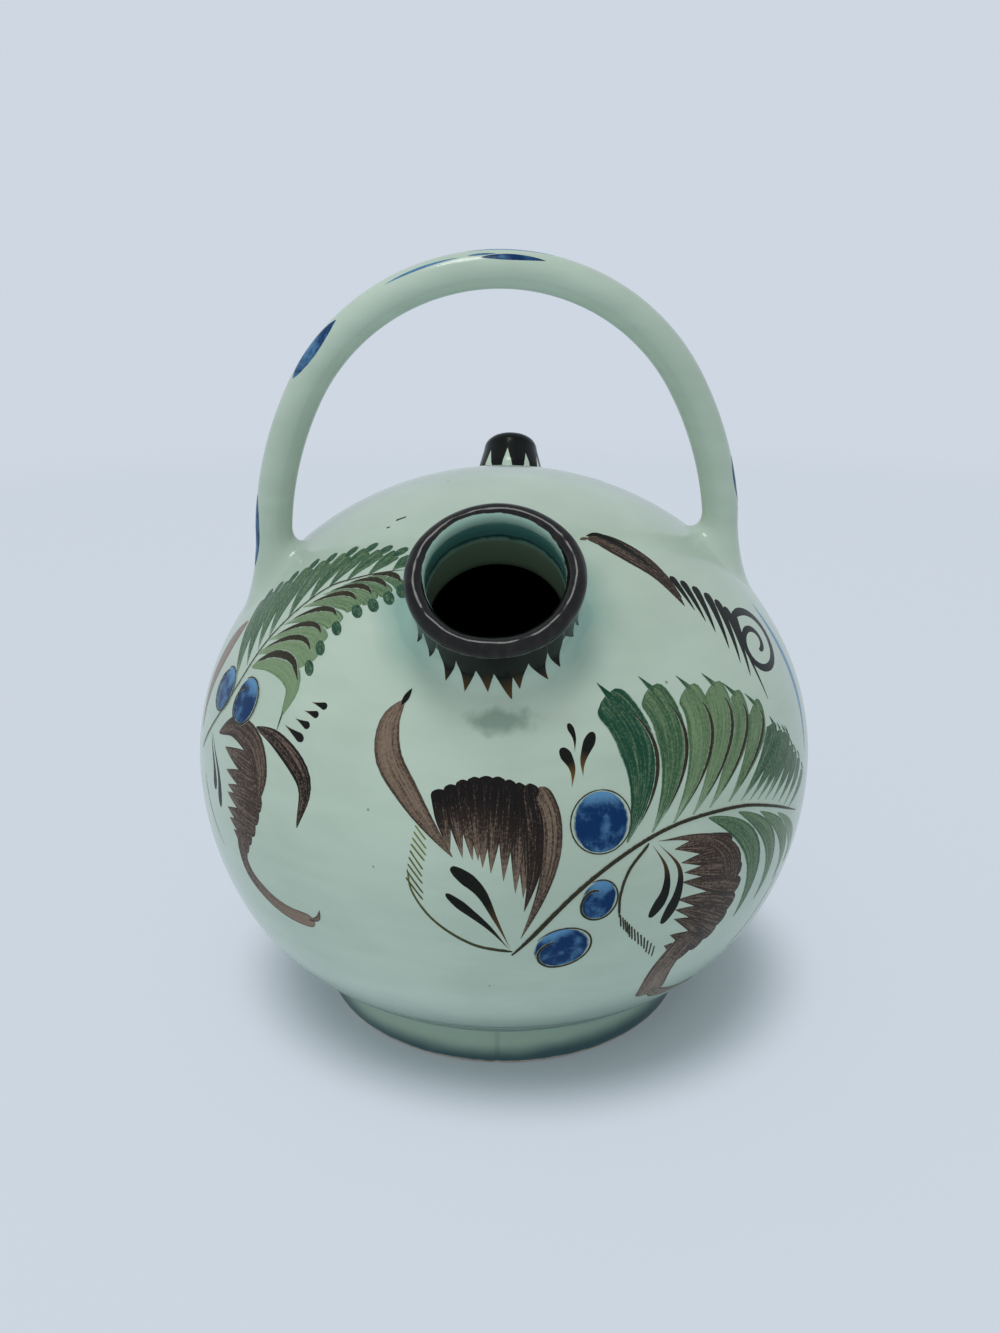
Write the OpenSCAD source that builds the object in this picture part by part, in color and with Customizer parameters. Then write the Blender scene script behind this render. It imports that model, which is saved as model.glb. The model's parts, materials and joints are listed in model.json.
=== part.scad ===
// Globular ceramic jug with a wide filling neck, a narrow pouring spout and an overhead loop handle.
// The globe is two press-moulded halves; every other piece is luted on to it with soft clay.
// Millimetres. The origin is on the table under the middle of the globe and +Z is up.
// The filling neck leans towards -Y, the pouring spout towards +Y, and the handle spans X.

/* [Globe] */
// Widest outer diameter of the globe
globe_d = 200; // [170:1:230]
// Distance from the axis to the centre of the shoulder's arc
shoulder_inset = 19.5; // [12:0.1:30]
// Depth of the crown's centre below the widest level
crown_drop = 10.4; // [5:0.1:15]
// Distance from the axis to the centre of the belly's arc
belly_inset = 4; // [1:0.1:12]
// Distance from the axis to the centre of the base's arc
base_inset = 32.8; // [25:0.1:40]
// Depth of the base arc's centre below the widest level
base_drop = 12; // [6:0.1:18]
// Thickness of the globe's wall
wall = 6; // [4:0.5:9]

/* [Foot] */
// Outer diameter of the foot ring
foot_d = 122.6; // [105:0.2:140]
// Width of the foot ring from its outside to its inside
foot_wall = 10; // [7:0.5:15]
// Height of the globe's floor above the table
foot_lift = 7.3; // [5:0.1:14]
// Rounding of the two edges that stand on the table
foot_edge_r = 1.5; // [0.5:0.1:3]
// Radius of the tooled groove where the foot meets the globe
foot_groove_r = 0.9; // [0.4:0.1:2]
// Width of the scored butt joint at the front of the foot
foot_seam_w = 0.8; // [0.4:0.1:2]
// Depth of the scored butt joint
foot_seam_depth = 0.5; // [0.2:0.1:1.5]

/* [Filling neck] */
// Rise of the neck's axis above the horizontal, in degrees
neck_tilt = 52; // [48:0.5:62]
// Diameter of the neck's bore, which runs on through the globe's wall
neck_bore_d = 38; // [28:0.5:42]
// Thickness of the neck's wall
neck_wall = 3.6; // [2.8:0.1:5]
// Distance from the crown to the neck's rim, along the neck's axis
neck_rise = 13; // [10:0.1:24]
// Width of the luting collar around the neck's foot
neck_collar_w = 4.4; // [3:0.1:6]
// Radius of the neck collar's hollow flank
neck_collar_r = 9; // [7:0.1:12]

/* [Mouth lip] */
// Thickness of the coil that makes the lip
lip_d = 4.9; // [4:0.1:7]
// Height of the coil's centre above the neck's rim
lip_sit = 1.6; // [0.6:0.1:1.9]
// How far the coil's centre lies outside the middle of the neck's wall
lip_overhang = 0.85; // [0.3:0.05:1.5]

/* [Pouring spout] */
// Rise of the spout's axis above the horizontal, in degrees
spout_tilt = 52; // [48:0.5:62]
// Diameter of the spout's bore, which runs on through the globe's wall
spout_bore_d = 9; // [6:0.5:12]
// Outer diameter of the spout where its domed tip begins
spout_tip_d = 18.6; // [15:0.1:20]
// Rounding of the bore's edge at the tip
spout_mouth_r = 0.5; // [0.3:0.1:1]
// Outer diameter of the spout's straight shank
spout_shank_d = 22.8; // [20.5:0.1:28]
// Length of the shank above the crown
spout_shank_h = 7; // [5:0.1:10]
// Distance from the crown to the spout's tip, along the spout's axis
spout_rise = 19.8; // [15:0.1:30]
// Width of the luting collar around the spout's foot
spout_collar_w = 3.8; // [2.5:0.1:6]
// Radius of the spout collar's hollow flank
spout_collar_r = 7; // [6:0.1:10]

/* [Handle] */
// Thickness of the round handle
handle_d = 11.4; // [9:0.1:15]
// Distance between the middles of the two legs at the springing level
handle_span = 142; // [125:1:150]
// Height of the arch's middle above the top of the globe
handle_rise = 62; // [50:0.1:80]
// How far past the arch's middle the centre of each side arc lies
handle_side_reach = 37.5; // [20:0.5:60]
// Height of the top arc's centre above the centres of the side arcs
handle_top_lift = 20; // [12:0.5:30]
// Height of each root above the globe, on the leg's middle
root_h = 14.6; // [12:0.1:20]
// How far a root spreads beyond the leg
root_flare = 6; // [3:0.1:9]
// Thickness that a root's outer edge keeps
root_edge = 0.5; // [0.3:0.1:1.5]
// Turn of the hand-set handle about the jug's axis, in degrees
handle_turn = 6; // [-10:0.5:10]
// Cant of the hand-set handle in its own plane, in degrees
handle_cant = 1.5; // [-4:0.5:4]
// Distance of the hand-set handle from the middle of the jug
handle_shift = -2; // [-5:0.5:5]

/* [Hidden] */
$fn = 256;

// Glaze colours
celadon = "#B1C4B6";
deep_celadon = "#8FB0AC";
iron_black = "#26231F";

// Arcs of the globe's profile: crown, shoulder, belly and base, each tangent to the next
globe_r = globe_d / 2;
shoulder_r = globe_r - shoulder_inset;
crown_r = shoulder_r + norm([shoulder_inset, crown_drop]);
belly_r = globe_r - belly_inset;
base_r = belly_r - norm([base_inset - belly_inset, base_drop]);
floor_drop = base_drop + base_r;

// Centres of the arcs, with the widest level at zero
crown_centre = [0, -crown_drop];
shoulder_centre = [shoulder_inset, 0];
belly_centre = [belly_inset, 0];
base_centre = [base_inset, -base_drop];

// Levels above the table
belly_z = foot_lift + floor_drop;
crown_z = belly_z - crown_drop;
top_z = crown_z + crown_r;

// Sizes that several pieces share
foot_r = foot_d / 2;
neck_r = neck_bore_d / 2 + neck_wall;

// Arch of the handle
leg_x = handle_span / 2;
side_r = leg_x + handle_side_reach;
arch_r = side_r - norm([handle_side_reach, handle_top_lift]);
arch_z = top_z + handle_rise - arch_r;
spring_z = arch_z - handle_top_lift;
arch_joint = atan2(handle_top_lift, handle_side_reach);

// Facets of the handle: sides around it, steps along its arcs and down a root, and rings across a seat
handle_sides = 32;
side_steps = 6;
top_steps = 20;
root_steps = 9;
seat_rings = 3;
// Clearance between a root's faceted seat and the globe
seat_gap = 0.03;

// Far enough to reach past any arc of the profile
reach = 2 * globe_d;

// Level of the crown's and the shoulder's outside at distance r from the globe's axis
function globe_z(r) = r < crown_r * shoulder_inset / norm(shoulder_centre - crown_centre)
    ? crown_z + sqrt(crown_r ^ 2 - r ^ 2)
    : belly_z + sqrt(max(0, shoulder_r ^ 2 - (r - shoulder_inset) ^ 2));

// Far point on the line from one arc's centre through the next one's, where the two arcs meet
function joint_line(a, b) = a + reach * (b - a) / norm(b - a);

// Place in the jug of a point given in the upright arch's own frame
function handle_point(p) = let(
    rise = p.z - top_z,
    canted = [p.x * cos(handle_cant) - rise * sin(handle_cant), p.y,
              p.x * sin(handle_cant) + rise * cos(handle_cant)])
    [handle_shift + canted.x * cos(handle_turn) - canted.y * sin(handle_turn),
     canted.x * sin(handle_turn) + canted.y * cos(handle_turn),
     top_z + canted.z];

// Point of the handle beside an arc at an angle: out from the arc's line, turn around it
function beside_arc(centre, r, angle, out, turn) = let(along = r + out * cos(turn))
    handle_point([centre.x + along * cos(angle), out * sin(turn), centre.y + along * sin(angle)]);

// Centre of a side arc, and the angle at which its leg ends root_h above the globe; side is 1 or -1
function side_centre(side) = [-side * handle_side_reach, spring_z];

function leg_end(side) = let(
    foot = handle_point([side * leg_x, 0, spring_z]),
    rise = asin((globe_z(norm([foot.x, foot.y])) + root_h - foot.z) / side_r))
    side > 0 ? rise : 180 - rise;

function leg_point(side, out, turn) = beside_arc(side_centre(side), side_r, leg_end(side), out, turn);

// Ring of points around an arc
function arc_ring(centre, r, angle) = [for (k = [0 : handle_sides - 1])
    beside_arc(centre, r, angle, handle_d / 2, 360 * k / handle_sides)];

// Point let down until it stands lift above the globe
function dropped(p, lift) = [p.x, p.y, globe_z(norm([p.x, p.y])) + lift];

// Rings of the arch, from the right leg over the top to the left leg
function arch_rings() = [
    for (i = [0 : side_steps - 1])
        arc_ring(side_centre(1), side_r, leg_end(1) + (arch_joint - leg_end(1)) * i / side_steps),
    for (i = [0 : top_steps])
        arc_ring([0, arch_z], arch_r, arch_joint + (180 - 2 * arch_joint) * i / top_steps),
    for (i = [1 : side_steps])
        arc_ring(side_centre(-1), side_r,
                 180 - arch_joint + (leg_end(-1) - 180 + arch_joint) * i / side_steps)];

// Rings of a root, from the leg's end down its hollow flank and then across its seat
function root_rings(side) = [
    for (step = [0 : root_steps])
        let(sweep = 90 * step / root_steps,
            out = handle_d / 2 + root_flare * (1 - cos(sweep)))
        [for (k = [0 : handle_sides - 1])
            let(turn = -side * 360 * k / handle_sides,
                start = leg_point(side, handle_d / 2, turn),
                height = start.z - globe_z(norm([start.x, start.y])))
            step == 0 ? start
                : dropped(leg_point(side, out, turn), root_edge + (height - root_edge) * (1 - sin(sweep)))],
    for (ring = [seat_rings : -1 : 1])
        let(out = (handle_d / 2 + root_flare) * ring / seat_rings)
        [for (k = [0 : handle_sides - 1])
            dropped(leg_point(side, out, -side * 360 * k / handle_sides), seat_gap)]];

// Closed solid through a list of rings that have as many points each
module loft(rings) {
    sides = len(rings[0]);
    last = len(rings) - 1;
    flank = [for (i = [0 : last - 1]) for (k = [0 : sides - 1])
        let(a = i * sides + k,
            b = i * sides + (k + 1) % sides)
        each [[a, b + sides, b], [a, a + sides, b + sides]]];
    start_cap = [[for (k = [0 : sides - 1]) k]];
    end_cap = [[for (k = [sides - 1 : -1 : 0]) last * sides + k]];
    polyhedron([for (ring = rings) each ring], concat(flank, start_cap, end_cap), convexity = 4);
}

// Stretch of wall with a round outer face, between the lines of an outline
module arc_wall(centre, r, outline) {
    intersection() {
        translate(centre) difference() {
            circle(r);
            circle(r - wall);
        }
        polygon(outline);
    }
}

// Half section of the globe's shell about its widest level
module globe_section() {
    crown_joint = joint_line(crown_centre, shoulder_centre);
    base_joint = joint_line(belly_centre, base_centre);
    arc_wall(crown_centre, crown_r,
             [crown_centre, shoulder_centre, crown_joint, [reach, reach], [0, reach]]);
    arc_wall(shoulder_centre, shoulder_r, [shoulder_centre, [reach, 0], crown_joint]);
    arc_wall(belly_centre, belly_r, [belly_centre, [reach, 0], base_joint, base_centre]);
    arc_wall(base_centre, base_r, [base_centre, base_joint, [reach, -reach], [base_inset, -reach]]);
    translate([0, -floor_drop]) square([base_inset, wall]);
}

// Frames with +Z out from the crown's centre along the neck and along the spout
module neck_frame() {
    translate([0, 0, crown_z]) rotate([90 - neck_tilt, 0, 0]) children();
}

module spout_frame() {
    translate([0, 0, crown_z]) rotate([spout_tilt - 90, 0, 0]) children();
}

// Half of the globe's shell, turned about the axis; the seam lies in the YZ plane
module globe_half(turn) {
    difference() {
        translate([0, 0, belly_z]) rotate([0, 0, turn]) rotate_extrude(angle = 180) globe_section();
        neck_frame() cylinder(h = reach, d = neck_bore_d);
        spout_frame() cylinder(h = reach, d = spout_bore_d);
    }
}

// Solid of revolution that stands on the crown, out along its own axis
module on_crown() {
    rotate_extrude() difference() {
        children();
        circle(crown_r);
    }
}

// Luting collar with a hollow flank around a shank of radius r
module luting_collar(r, w, flank_r) {
    edge_h = sqrt(crown_r ^ 2 - (r + w) ^ 2);
    flank_h = edge_h + sqrt(2 * flank_r * w - w ^ 2);
    on_crown() difference() {
        translate([r, edge_h - w]) square([w, flank_h - edge_h + w]);
        translate([r + flank_r, flank_h]) circle(flank_r);
    }
}

module body_left_half() {
    color(celadon) globe_half(90);
}

module body_right_half() {
    color(celadon) globe_half(-90);
}

// Strip of clay bent into a ring, rounded where it stands, with its ends butted at the front
module foot_ring() {
    joint_z = belly_z - base_drop - sqrt(base_r ^ 2 - (foot_r - base_inset) ^ 2);
    color(deep_celadon) difference() {
        rotate_extrude() difference() {
            union() {
                translate([foot_r - foot_wall, foot_edge_r]) square([foot_wall, belly_z - foot_edge_r]);
                translate([foot_r - foot_wall + foot_edge_r, 0])
                    square([foot_wall - 2 * foot_edge_r, 2 * foot_edge_r]);
                for (x = [foot_edge_r - foot_wall, -foot_edge_r])
                    translate([foot_r + x, foot_edge_r]) circle(foot_edge_r);
            }
            translate(base_centre + [0, belly_z]) circle(base_r);
            translate([foot_r, joint_z]) circle(foot_groove_r);
        }
        translate([-foot_seam_w / 2, -foot_r - foot_seam_depth, -foot_seam_depth])
            cube([foot_seam_w, 2 * foot_seam_depth, belly_z]);
    }
}

module filling_neck() {
    color(celadon) neck_frame() on_crown()
        translate([neck_bore_d / 2, 0]) square([neck_wall, crown_r + neck_rise]);
}

module neck_collar() {
    color(deep_celadon) neck_frame() luting_collar(neck_r, neck_collar_w, neck_collar_r);
}

// Coil that overhangs the neck and is pressed flat where it sits on the rim
module mouth_lip() {
    coil_x = (neck_bore_d + neck_wall) / 2 + lip_overhang;
    color(iron_black) neck_frame() translate([0, 0, crown_r + neck_rise]) rotate_extrude()
        intersection() {
            translate([coil_x, lip_sit]) circle(d = lip_d);
            square([coil_x + lip_d, lip_sit + lip_d]);
        }
}

// Straight shank that tapers to a domed tip, with a small rounding at the bore's edge
module pouring_spout() {
    bore_r = spout_bore_d / 2;
    dome_r = spout_tip_d / 2 - bore_r - spout_mouth_r;
    dome_h = crown_r + spout_rise - dome_r;
    shank_top = crown_r + spout_shank_h;
    color(celadon) spout_frame() on_crown() {
        polygon([[bore_r, 0], [spout_shank_d / 2, 0], [spout_shank_d / 2, shank_top],
                 [spout_tip_d / 2, dome_h], [bore_r, dome_h]]);
        translate([bore_r + spout_mouth_r, dome_h]) intersection() {
            circle(dome_r);
            square(dome_r);
        }
        translate([bore_r, dome_h]) square([spout_mouth_r, dome_r - spout_mouth_r]);
        translate([bore_r + spout_mouth_r, dome_h + dome_r - spout_mouth_r]) circle(spout_mouth_r);
    }
}

module spout_collar() {
    color(deep_celadon) spout_frame() luting_collar(spout_shank_d / 2, spout_collar_w, spout_collar_r);
}

// Round arch of three arcs, the middle one tighter than the sides
module handle_arch() {
    color(celadon) loft(arch_rings());
}

// Flared roots that spread from the round legs on to the crown
module handle_left_root() {
    color(celadon) loft(root_rings(-1));
}

module handle_right_root() {
    color(celadon) loft(root_rings(1));
}

body_left_half();
body_right_half();
foot_ring();
filling_neck();
neck_collar();
mouth_lip();
pouring_spout();
spout_collar();
handle_arch();
handle_left_root();
handle_right_root();
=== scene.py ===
"""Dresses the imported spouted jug: celadon glaze, black mouth and spout, brush-painted leaves and berries."""

from __future__ import annotations

import json
import logging
import math
from abc import ABC, abstractmethod
from dataclasses import dataclass, replace
from enum import Enum
from typing import Callable, Sequence

import bmesh
import bpy
import numpy as np
from mathutils import Matrix, Vector

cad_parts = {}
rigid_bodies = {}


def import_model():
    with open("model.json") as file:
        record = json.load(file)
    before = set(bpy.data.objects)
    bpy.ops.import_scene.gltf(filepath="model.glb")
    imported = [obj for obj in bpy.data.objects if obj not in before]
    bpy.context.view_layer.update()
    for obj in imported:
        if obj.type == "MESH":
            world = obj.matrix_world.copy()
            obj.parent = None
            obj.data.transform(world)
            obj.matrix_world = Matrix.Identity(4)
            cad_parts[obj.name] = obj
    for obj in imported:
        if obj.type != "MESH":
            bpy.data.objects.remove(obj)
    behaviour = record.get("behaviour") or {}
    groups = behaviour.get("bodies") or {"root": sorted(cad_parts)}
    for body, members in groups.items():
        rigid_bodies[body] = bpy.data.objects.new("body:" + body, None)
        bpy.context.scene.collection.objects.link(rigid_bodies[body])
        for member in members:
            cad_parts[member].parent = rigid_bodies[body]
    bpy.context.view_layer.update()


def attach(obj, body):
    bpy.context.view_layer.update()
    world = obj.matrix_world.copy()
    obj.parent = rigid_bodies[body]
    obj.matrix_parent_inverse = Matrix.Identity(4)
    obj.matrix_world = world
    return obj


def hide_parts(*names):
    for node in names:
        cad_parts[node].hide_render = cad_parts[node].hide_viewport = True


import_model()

LOG = logging.getLogger("jug")
BODY = "root"
MM = 0.001  # in metres, as all lengths are
TINY = 1e-7  # points closer than this are one
GOLDEN = 0.618034  # from one stroke's seed to the next
LAYERS = 4  # in which neighbouring strokes lie in turn
GRID = (28, 9)  # points of a stroke along and across

Pair = tuple[float, float]
Triple = tuple[float, float, float]
Colour = tuple[float, float, float, float]
Form = bpy.types.Object
Mesh = bpy.types.Mesh
Material = bpy.types.Material
Node = bpy.types.Node
Socket = bpy.types.NodeSocket


def seen(red: float, green: float, blue: float) -> Colour:
    """A colour as the eye reads it, in the shader's linear values.

    Args:
        red: The red channel, from 0 to 255, as the other two are.
        green: The green channel.
        blue: The blue channel.

    Returns:
        The linear colour.
    """
    def channel(value: float) -> float:
        """One channel in linear light."""
        share = value / 255
        return share / 12.92 if share <= 0.04045 else ((share + 0.055) / 1.055) ** 2.4
    return (channel(red), channel(green), channel(blue), 1.0)


# Outlines and turned meshes

@dataclass(frozen=True)
class Arc:
    """A round stretch of an outline in the plane of radius and height, with its ends in degrees."""

    centre: Pair
    radius: float
    start: float
    end: float

    def at(self, angle: float) -> Pair:
        """The point at an angle in degrees."""
        turn = math.radians(angle)
        return (self.centre[0] + self.radius * math.cos(turn), self.centre[1] + self.radius * math.sin(turn))

    def points(self, step: float = 2.0) -> list[Pair]:
        """Points from start to end, both included.

        Args:
            step: The widest angle between two points, in degrees.

        Returns:
            The points as pairs of radius and height.
        """
        count = max(2, math.ceil(abs(self.end - self.start) / step) + 1)
        return [self.at(angle) for angle in np.linspace(self.start, self.end, count)]


def straight(start: Pair, end: Pair, count: int) -> list[Pair]:
    """Evenly spaced points strictly between two points of an outline."""
    shares = np.linspace(0, 1, count + 2)[1:-1]
    return [(start[0] + (end[0] - start[0]) * s, start[1] + (end[1] - start[1]) * s) for s in shares]


def down_outline(outline: Sequence[Pair], distance: float) -> Pair:
    """The point of an outline at a distance from its start.

    Args:
        outline: The outline's points.
        distance: The way along it.

    Returns:
        The point.
    """
    points = np.array(outline)
    travelled = np.concatenate(([0.0], np.cumsum(np.hypot(*np.diff(points, axis=0).T))))
    return tuple(float(np.interp(distance, travelled, points[:, k])) for k in (0, 1))


def new_object(name: str, data: bpy.types.ID) -> Form:
    """Links a new object to the scene.

    Args:
        name: The object's name.
        data: The mesh, lamp or camera that it holds.

    Returns:
        The object.
    """
    made = bpy.data.objects.new(name, data)
    bpy.context.scene.collection.objects.link(made)
    return made


def mesh_object(name: str, points: Sequence, faces: Sequence, place: Matrix | None = None) -> Form:
    """Makes a smooth closed mesh whose faces point outwards.

    Args:
        name: The object's name.
        points: The vertices.
        faces: The faces as lists of vertex numbers.
        place: Where the mesh goes, if its points are in a frame of their own.

    Returns:
        The new object, with its place in its mesh.
    """
    mesh = bpy.data.meshes.new(name)
    mesh.from_pydata([tuple(p) for p in points], [], faces)
    if place is not None:
        mesh.transform(place)
    shell = bmesh.new()
    shell.from_mesh(mesh)
    bmesh.ops.recalc_face_normals(shell, faces=shell.faces)
    shell.to_mesh(mesh)
    shell.free()
    mesh.shade_smooth()
    return new_object(name, mesh)


def ring_faces(rings: Sequence[Sequence[int]]) -> list[list[int]]:
    """Faces between neighbouring rings.

    Args:
        rings: Vertex numbers of each ring, where a ring of one vertex is a pole.

    Returns:
        The faces as lists of vertex numbers.
    """
    faces = []
    for low, high in zip(rings, rings[1:]):
        sides = max(len(low), len(high))
        for k in range(sides):
            corners = [low[k % len(low)], low[(k + 1) % len(low)],
                       high[(k + 1) % len(high)], high[k % len(high)]]
            faces.append(list(dict.fromkeys(corners)))
    return faces


def turned(name: str, outline: Sequence[Pair], sides: int, ring: bool = False, place: Matrix | None = None,
           wobble: Callable[[float], float] | None = None) -> Form:
    """Turns an outline of radius and height about its axis.

    Args:
        name: The object's name.
        outline: The points, from pole to pole, or around a ring's section.
        sides: How many sides the turned form has.
        ring: Whether the outline closes on itself.
        place: The frame whose Z is the axis, if it isn't the jug's own.
        wobble: How far the radius departs at an angle, as a hand-made form's does.

    Returns:
        The new object.
    """
    points, rings = [], []
    turns = np.linspace(0, 2 * math.pi, sides, endpoint=False)
    for radius, height in outline:
        if radius < TINY:
            rings.append([len(points)])
            points.append((0.0, 0.0, height))
            continue
        rings.append(list(range(len(points), len(points) + sides)))
        for turn in turns:
            reach = radius + (wobble(turn) if wobble else 0.0)
            points.append((reach * math.cos(turn), reach * math.sin(turn), height))
    if ring:
        rings.append(rings[0])
    return mesh_object(name, points, ring_faces(rings), place)


def settle(target: Form) -> None:
    """Turns what an object's modifiers make into its plain mesh.

    Args:
        target: The object, which loses its modifiers.
    """
    graph = bpy.context.evaluated_depsgraph_get()
    mesh = bpy.data.meshes.new_from_object(target.evaluated_get(graph), preserve_all_data_layers=True,
                                           depsgraph=graph)
    target.modifiers.clear()
    target.data = mesh


def cut(target: Form, *cutters: Form) -> None:
    """Takes the cutters' solids out of the target, then drops the cutters.

    Args:
        target: The object that is cut.
        *cutters: The objects that cut it.
    """
    for cutter in cutters:
        made = target.modifiers.new("cut", "BOOLEAN")
        made.operation = "DIFFERENCE"
        made.solver = "EXACT"
        made.object = cutter
    settle(target)
    for cutter in cutters:
        bpy.data.objects.remove(cutter)


def crease(form: Form, angle: float) -> Form:
    """Shades a form sharply where it bends by more than an angle in degrees."""
    form.data.set_sharp_from_angle(angle=math.radians(angle))
    return form


def carry(piece: Form, slot: str, *nodes: str) -> None:
    """Lets a finished piece ride on the jug and stand for its nodes, which it hides.

    Args:
        piece: The piece.
        slot: Not used.
        *nodes: The nodes that it stands for.
    """
    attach(piece, BODY)
    if nodes:
        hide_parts(*nodes)
    LOG.info("%s: %d faces", piece.name, len(piece.data.polygons))


# Node trees

class Graph:
    """A node tree under construction, laid out in rows, with the place that its patterns read."""

    SPACING = (220, -260)
    IN_ROW = 12

    place: Socket | None = None

    def __init__(self, tree: bpy.types.NodeTree) -> None:
        """Starts on an empty tree."""
        self.tree = tree
        tree.nodes.clear()

    def node(self, kind: str, inputs: dict | None = None, **settings: object) -> Node:
        """Adds a node.

        Args:
            kind: The node's kind.
            inputs: Sockets and plain values for its inputs, by name or number.
            **settings: Its properties, set before the inputs are.

        Returns:
            The new node.
        """
        made = self.tree.nodes.new(kind)
        row, column = divmod(len(self.tree.nodes), self.IN_ROW)
        made.location = (self.SPACING[0] * column, self.SPACING[1] * row)
        for name, value in settings.items():
            setattr(made, name, value)
        for key, value in (inputs or {}).items():
            self.feed(made.inputs[key], value)
        return made

    def feed(self, target: Socket, value: object) -> None:
        """Links a socket to an input, or sets the input to a plain value.

        Args:
            target: The input.
            value: The socket or the value.
        """
        if isinstance(value, Socket):
            self.tree.links.new(value, target)
        else:
            target.default_value = value

    def end(self, kind: str, result: Socket) -> None:
        """Ends the tree in a node that takes its result."""
        self.node(kind, {0: result})

    def math(self, operation: str, *values: object) -> Socket:
        """The result of an operation on numbers."""
        return self.node("ShaderNodeMath", dict(enumerate(values)), operation=operation).outputs[0]

    def vector(self, operation: str, *values: object) -> Socket:
        """The result of an operation on vectors, which is a number for a dot product and a length."""
        made = self.node("ShaderNodeVectorMath", dict(enumerate(values)), operation=operation)
        return made.outputs["Value" if operation in ("DOT_PRODUCT", "LENGTH") else "Vector"]

    def scaled(self, vector: Socket, factor: Socket) -> Socket:
        """A vector times a number."""
        return self.node("ShaderNodeVectorMath", {0: vector, "Scale": factor}, operation="SCALE").outputs[0]

    def split(self, vector: Socket) -> tuple[Socket, ...]:
        """The three parts of a vector."""
        return tuple(self.node("ShaderNodeSeparateXYZ", {0: vector}).outputs)

    def apart(self, value: Socket, middle: float) -> Socket:
        """How far a number is from a middle one."""
        return self.math("ABSOLUTE", self.math("SUBTRACT", value, middle))

    def ease(self, value: Socket, low: float, high: float, start: object = 0.0, end: object = 1.0) -> Socket:
        """Goes smoothly from start to end while the value goes from low to high."""
        given = dict(enumerate((value, low, high, start, end)))
        return self.node("ShaderNodeMapRange", given, interpolation_type="SMOOTHSTEP").outputs[0]

    def noise(self, scale: float, detail: float = 2.0, rough: float = 0.5,
              place: Socket | None = None) -> Socket:
        """Cloudy noise.

        Args:
            scale: Clouds in a metre.
            detail: How many finer layers it has.
            rough: How strong they are.
            place: Where it is read, if not at the tree's own place.

        Returns:
            The noise, from 0 to 1.
        """
        where = self.place if place is None else place
        given = {"Vector": where, "Scale": scale, "Detail": detail, "Roughness": rough}
        return self.node("ShaderNodeTexNoise", given).outputs["Fac"]

    def ragged(self, value: Socket, scale: float, reach: float, detail: float = 2.0) -> Socket:
        """A number that noise raises by up to a reach, so that an edge drawn by it isn't clean."""
        return self.math("MULTIPLY_ADD", self.noise(scale, detail), reach, value)

    def blend(self, share: object, first: object, second: object) -> Socket:
        """The first colour, going over to the second by a share."""
        return self.node("ShaderNodeMix", {0: share, 6: first, 7: second}, data_type="RGBA").outputs[2]

    def either(self, share: Socket, first: Node, second: Node) -> Socket:
        """The first shader, going over to the second by a share."""
        given = {0: share, 1: first.outputs[0], 2: second.outputs[0]}
        return self.node("ShaderNodeMixShader", given).outputs[0]


@dataclass(frozen=True)
class Gloss:
    """How a fired surface takes the light."""

    roughness: float = 0.22
    coat: float = 0.25
    coat_roughness: float = 0.05
    ior: float = 1.45
    ripple: float = 0.00012
    ripple_share: float = 0.6

    def shader(self, graph: Graph, colour: object, ripple_scale: float = 55.0) -> None:
        """Ends a material's tree in a glossy shader with the faint ripple of a poured glaze.

        Args:
            graph: The material's tree.
            colour: The colour, as a socket or a value.
            ripple_scale: Ripples in a metre.
        """
        bump = graph.node("ShaderNodeBump", {
            "Strength": self.ripple_share, "Distance": self.ripple,
            "Height": graph.noise(ripple_scale, 1.5)})
        shader = graph.node("ShaderNodeBsdfPrincipled", {
            "Base Color": colour, "Normal": bump.outputs[0], "Roughness": self.roughness, "IOR": self.ior,
            "Coat Weight": self.coat, "Coat Roughness": self.coat_roughness})
        graph.end("ShaderNodeOutputMaterial", shader.outputs[0])


def material_graph(name: str) -> tuple[Material, Graph]:
    """Starts a material.

    Args:
        name: The material's name.

    Returns:
        The material and its tree, whose place is Object coordinates.
    """
    made = bpy.data.materials.new(name)
    made.use_nodes = True
    graph = Graph(made.node_tree)
    graph.place = graph.node("ShaderNodeTexCoord").outputs["Object"]
    return made, graph


# The jug's turned forms

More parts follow.
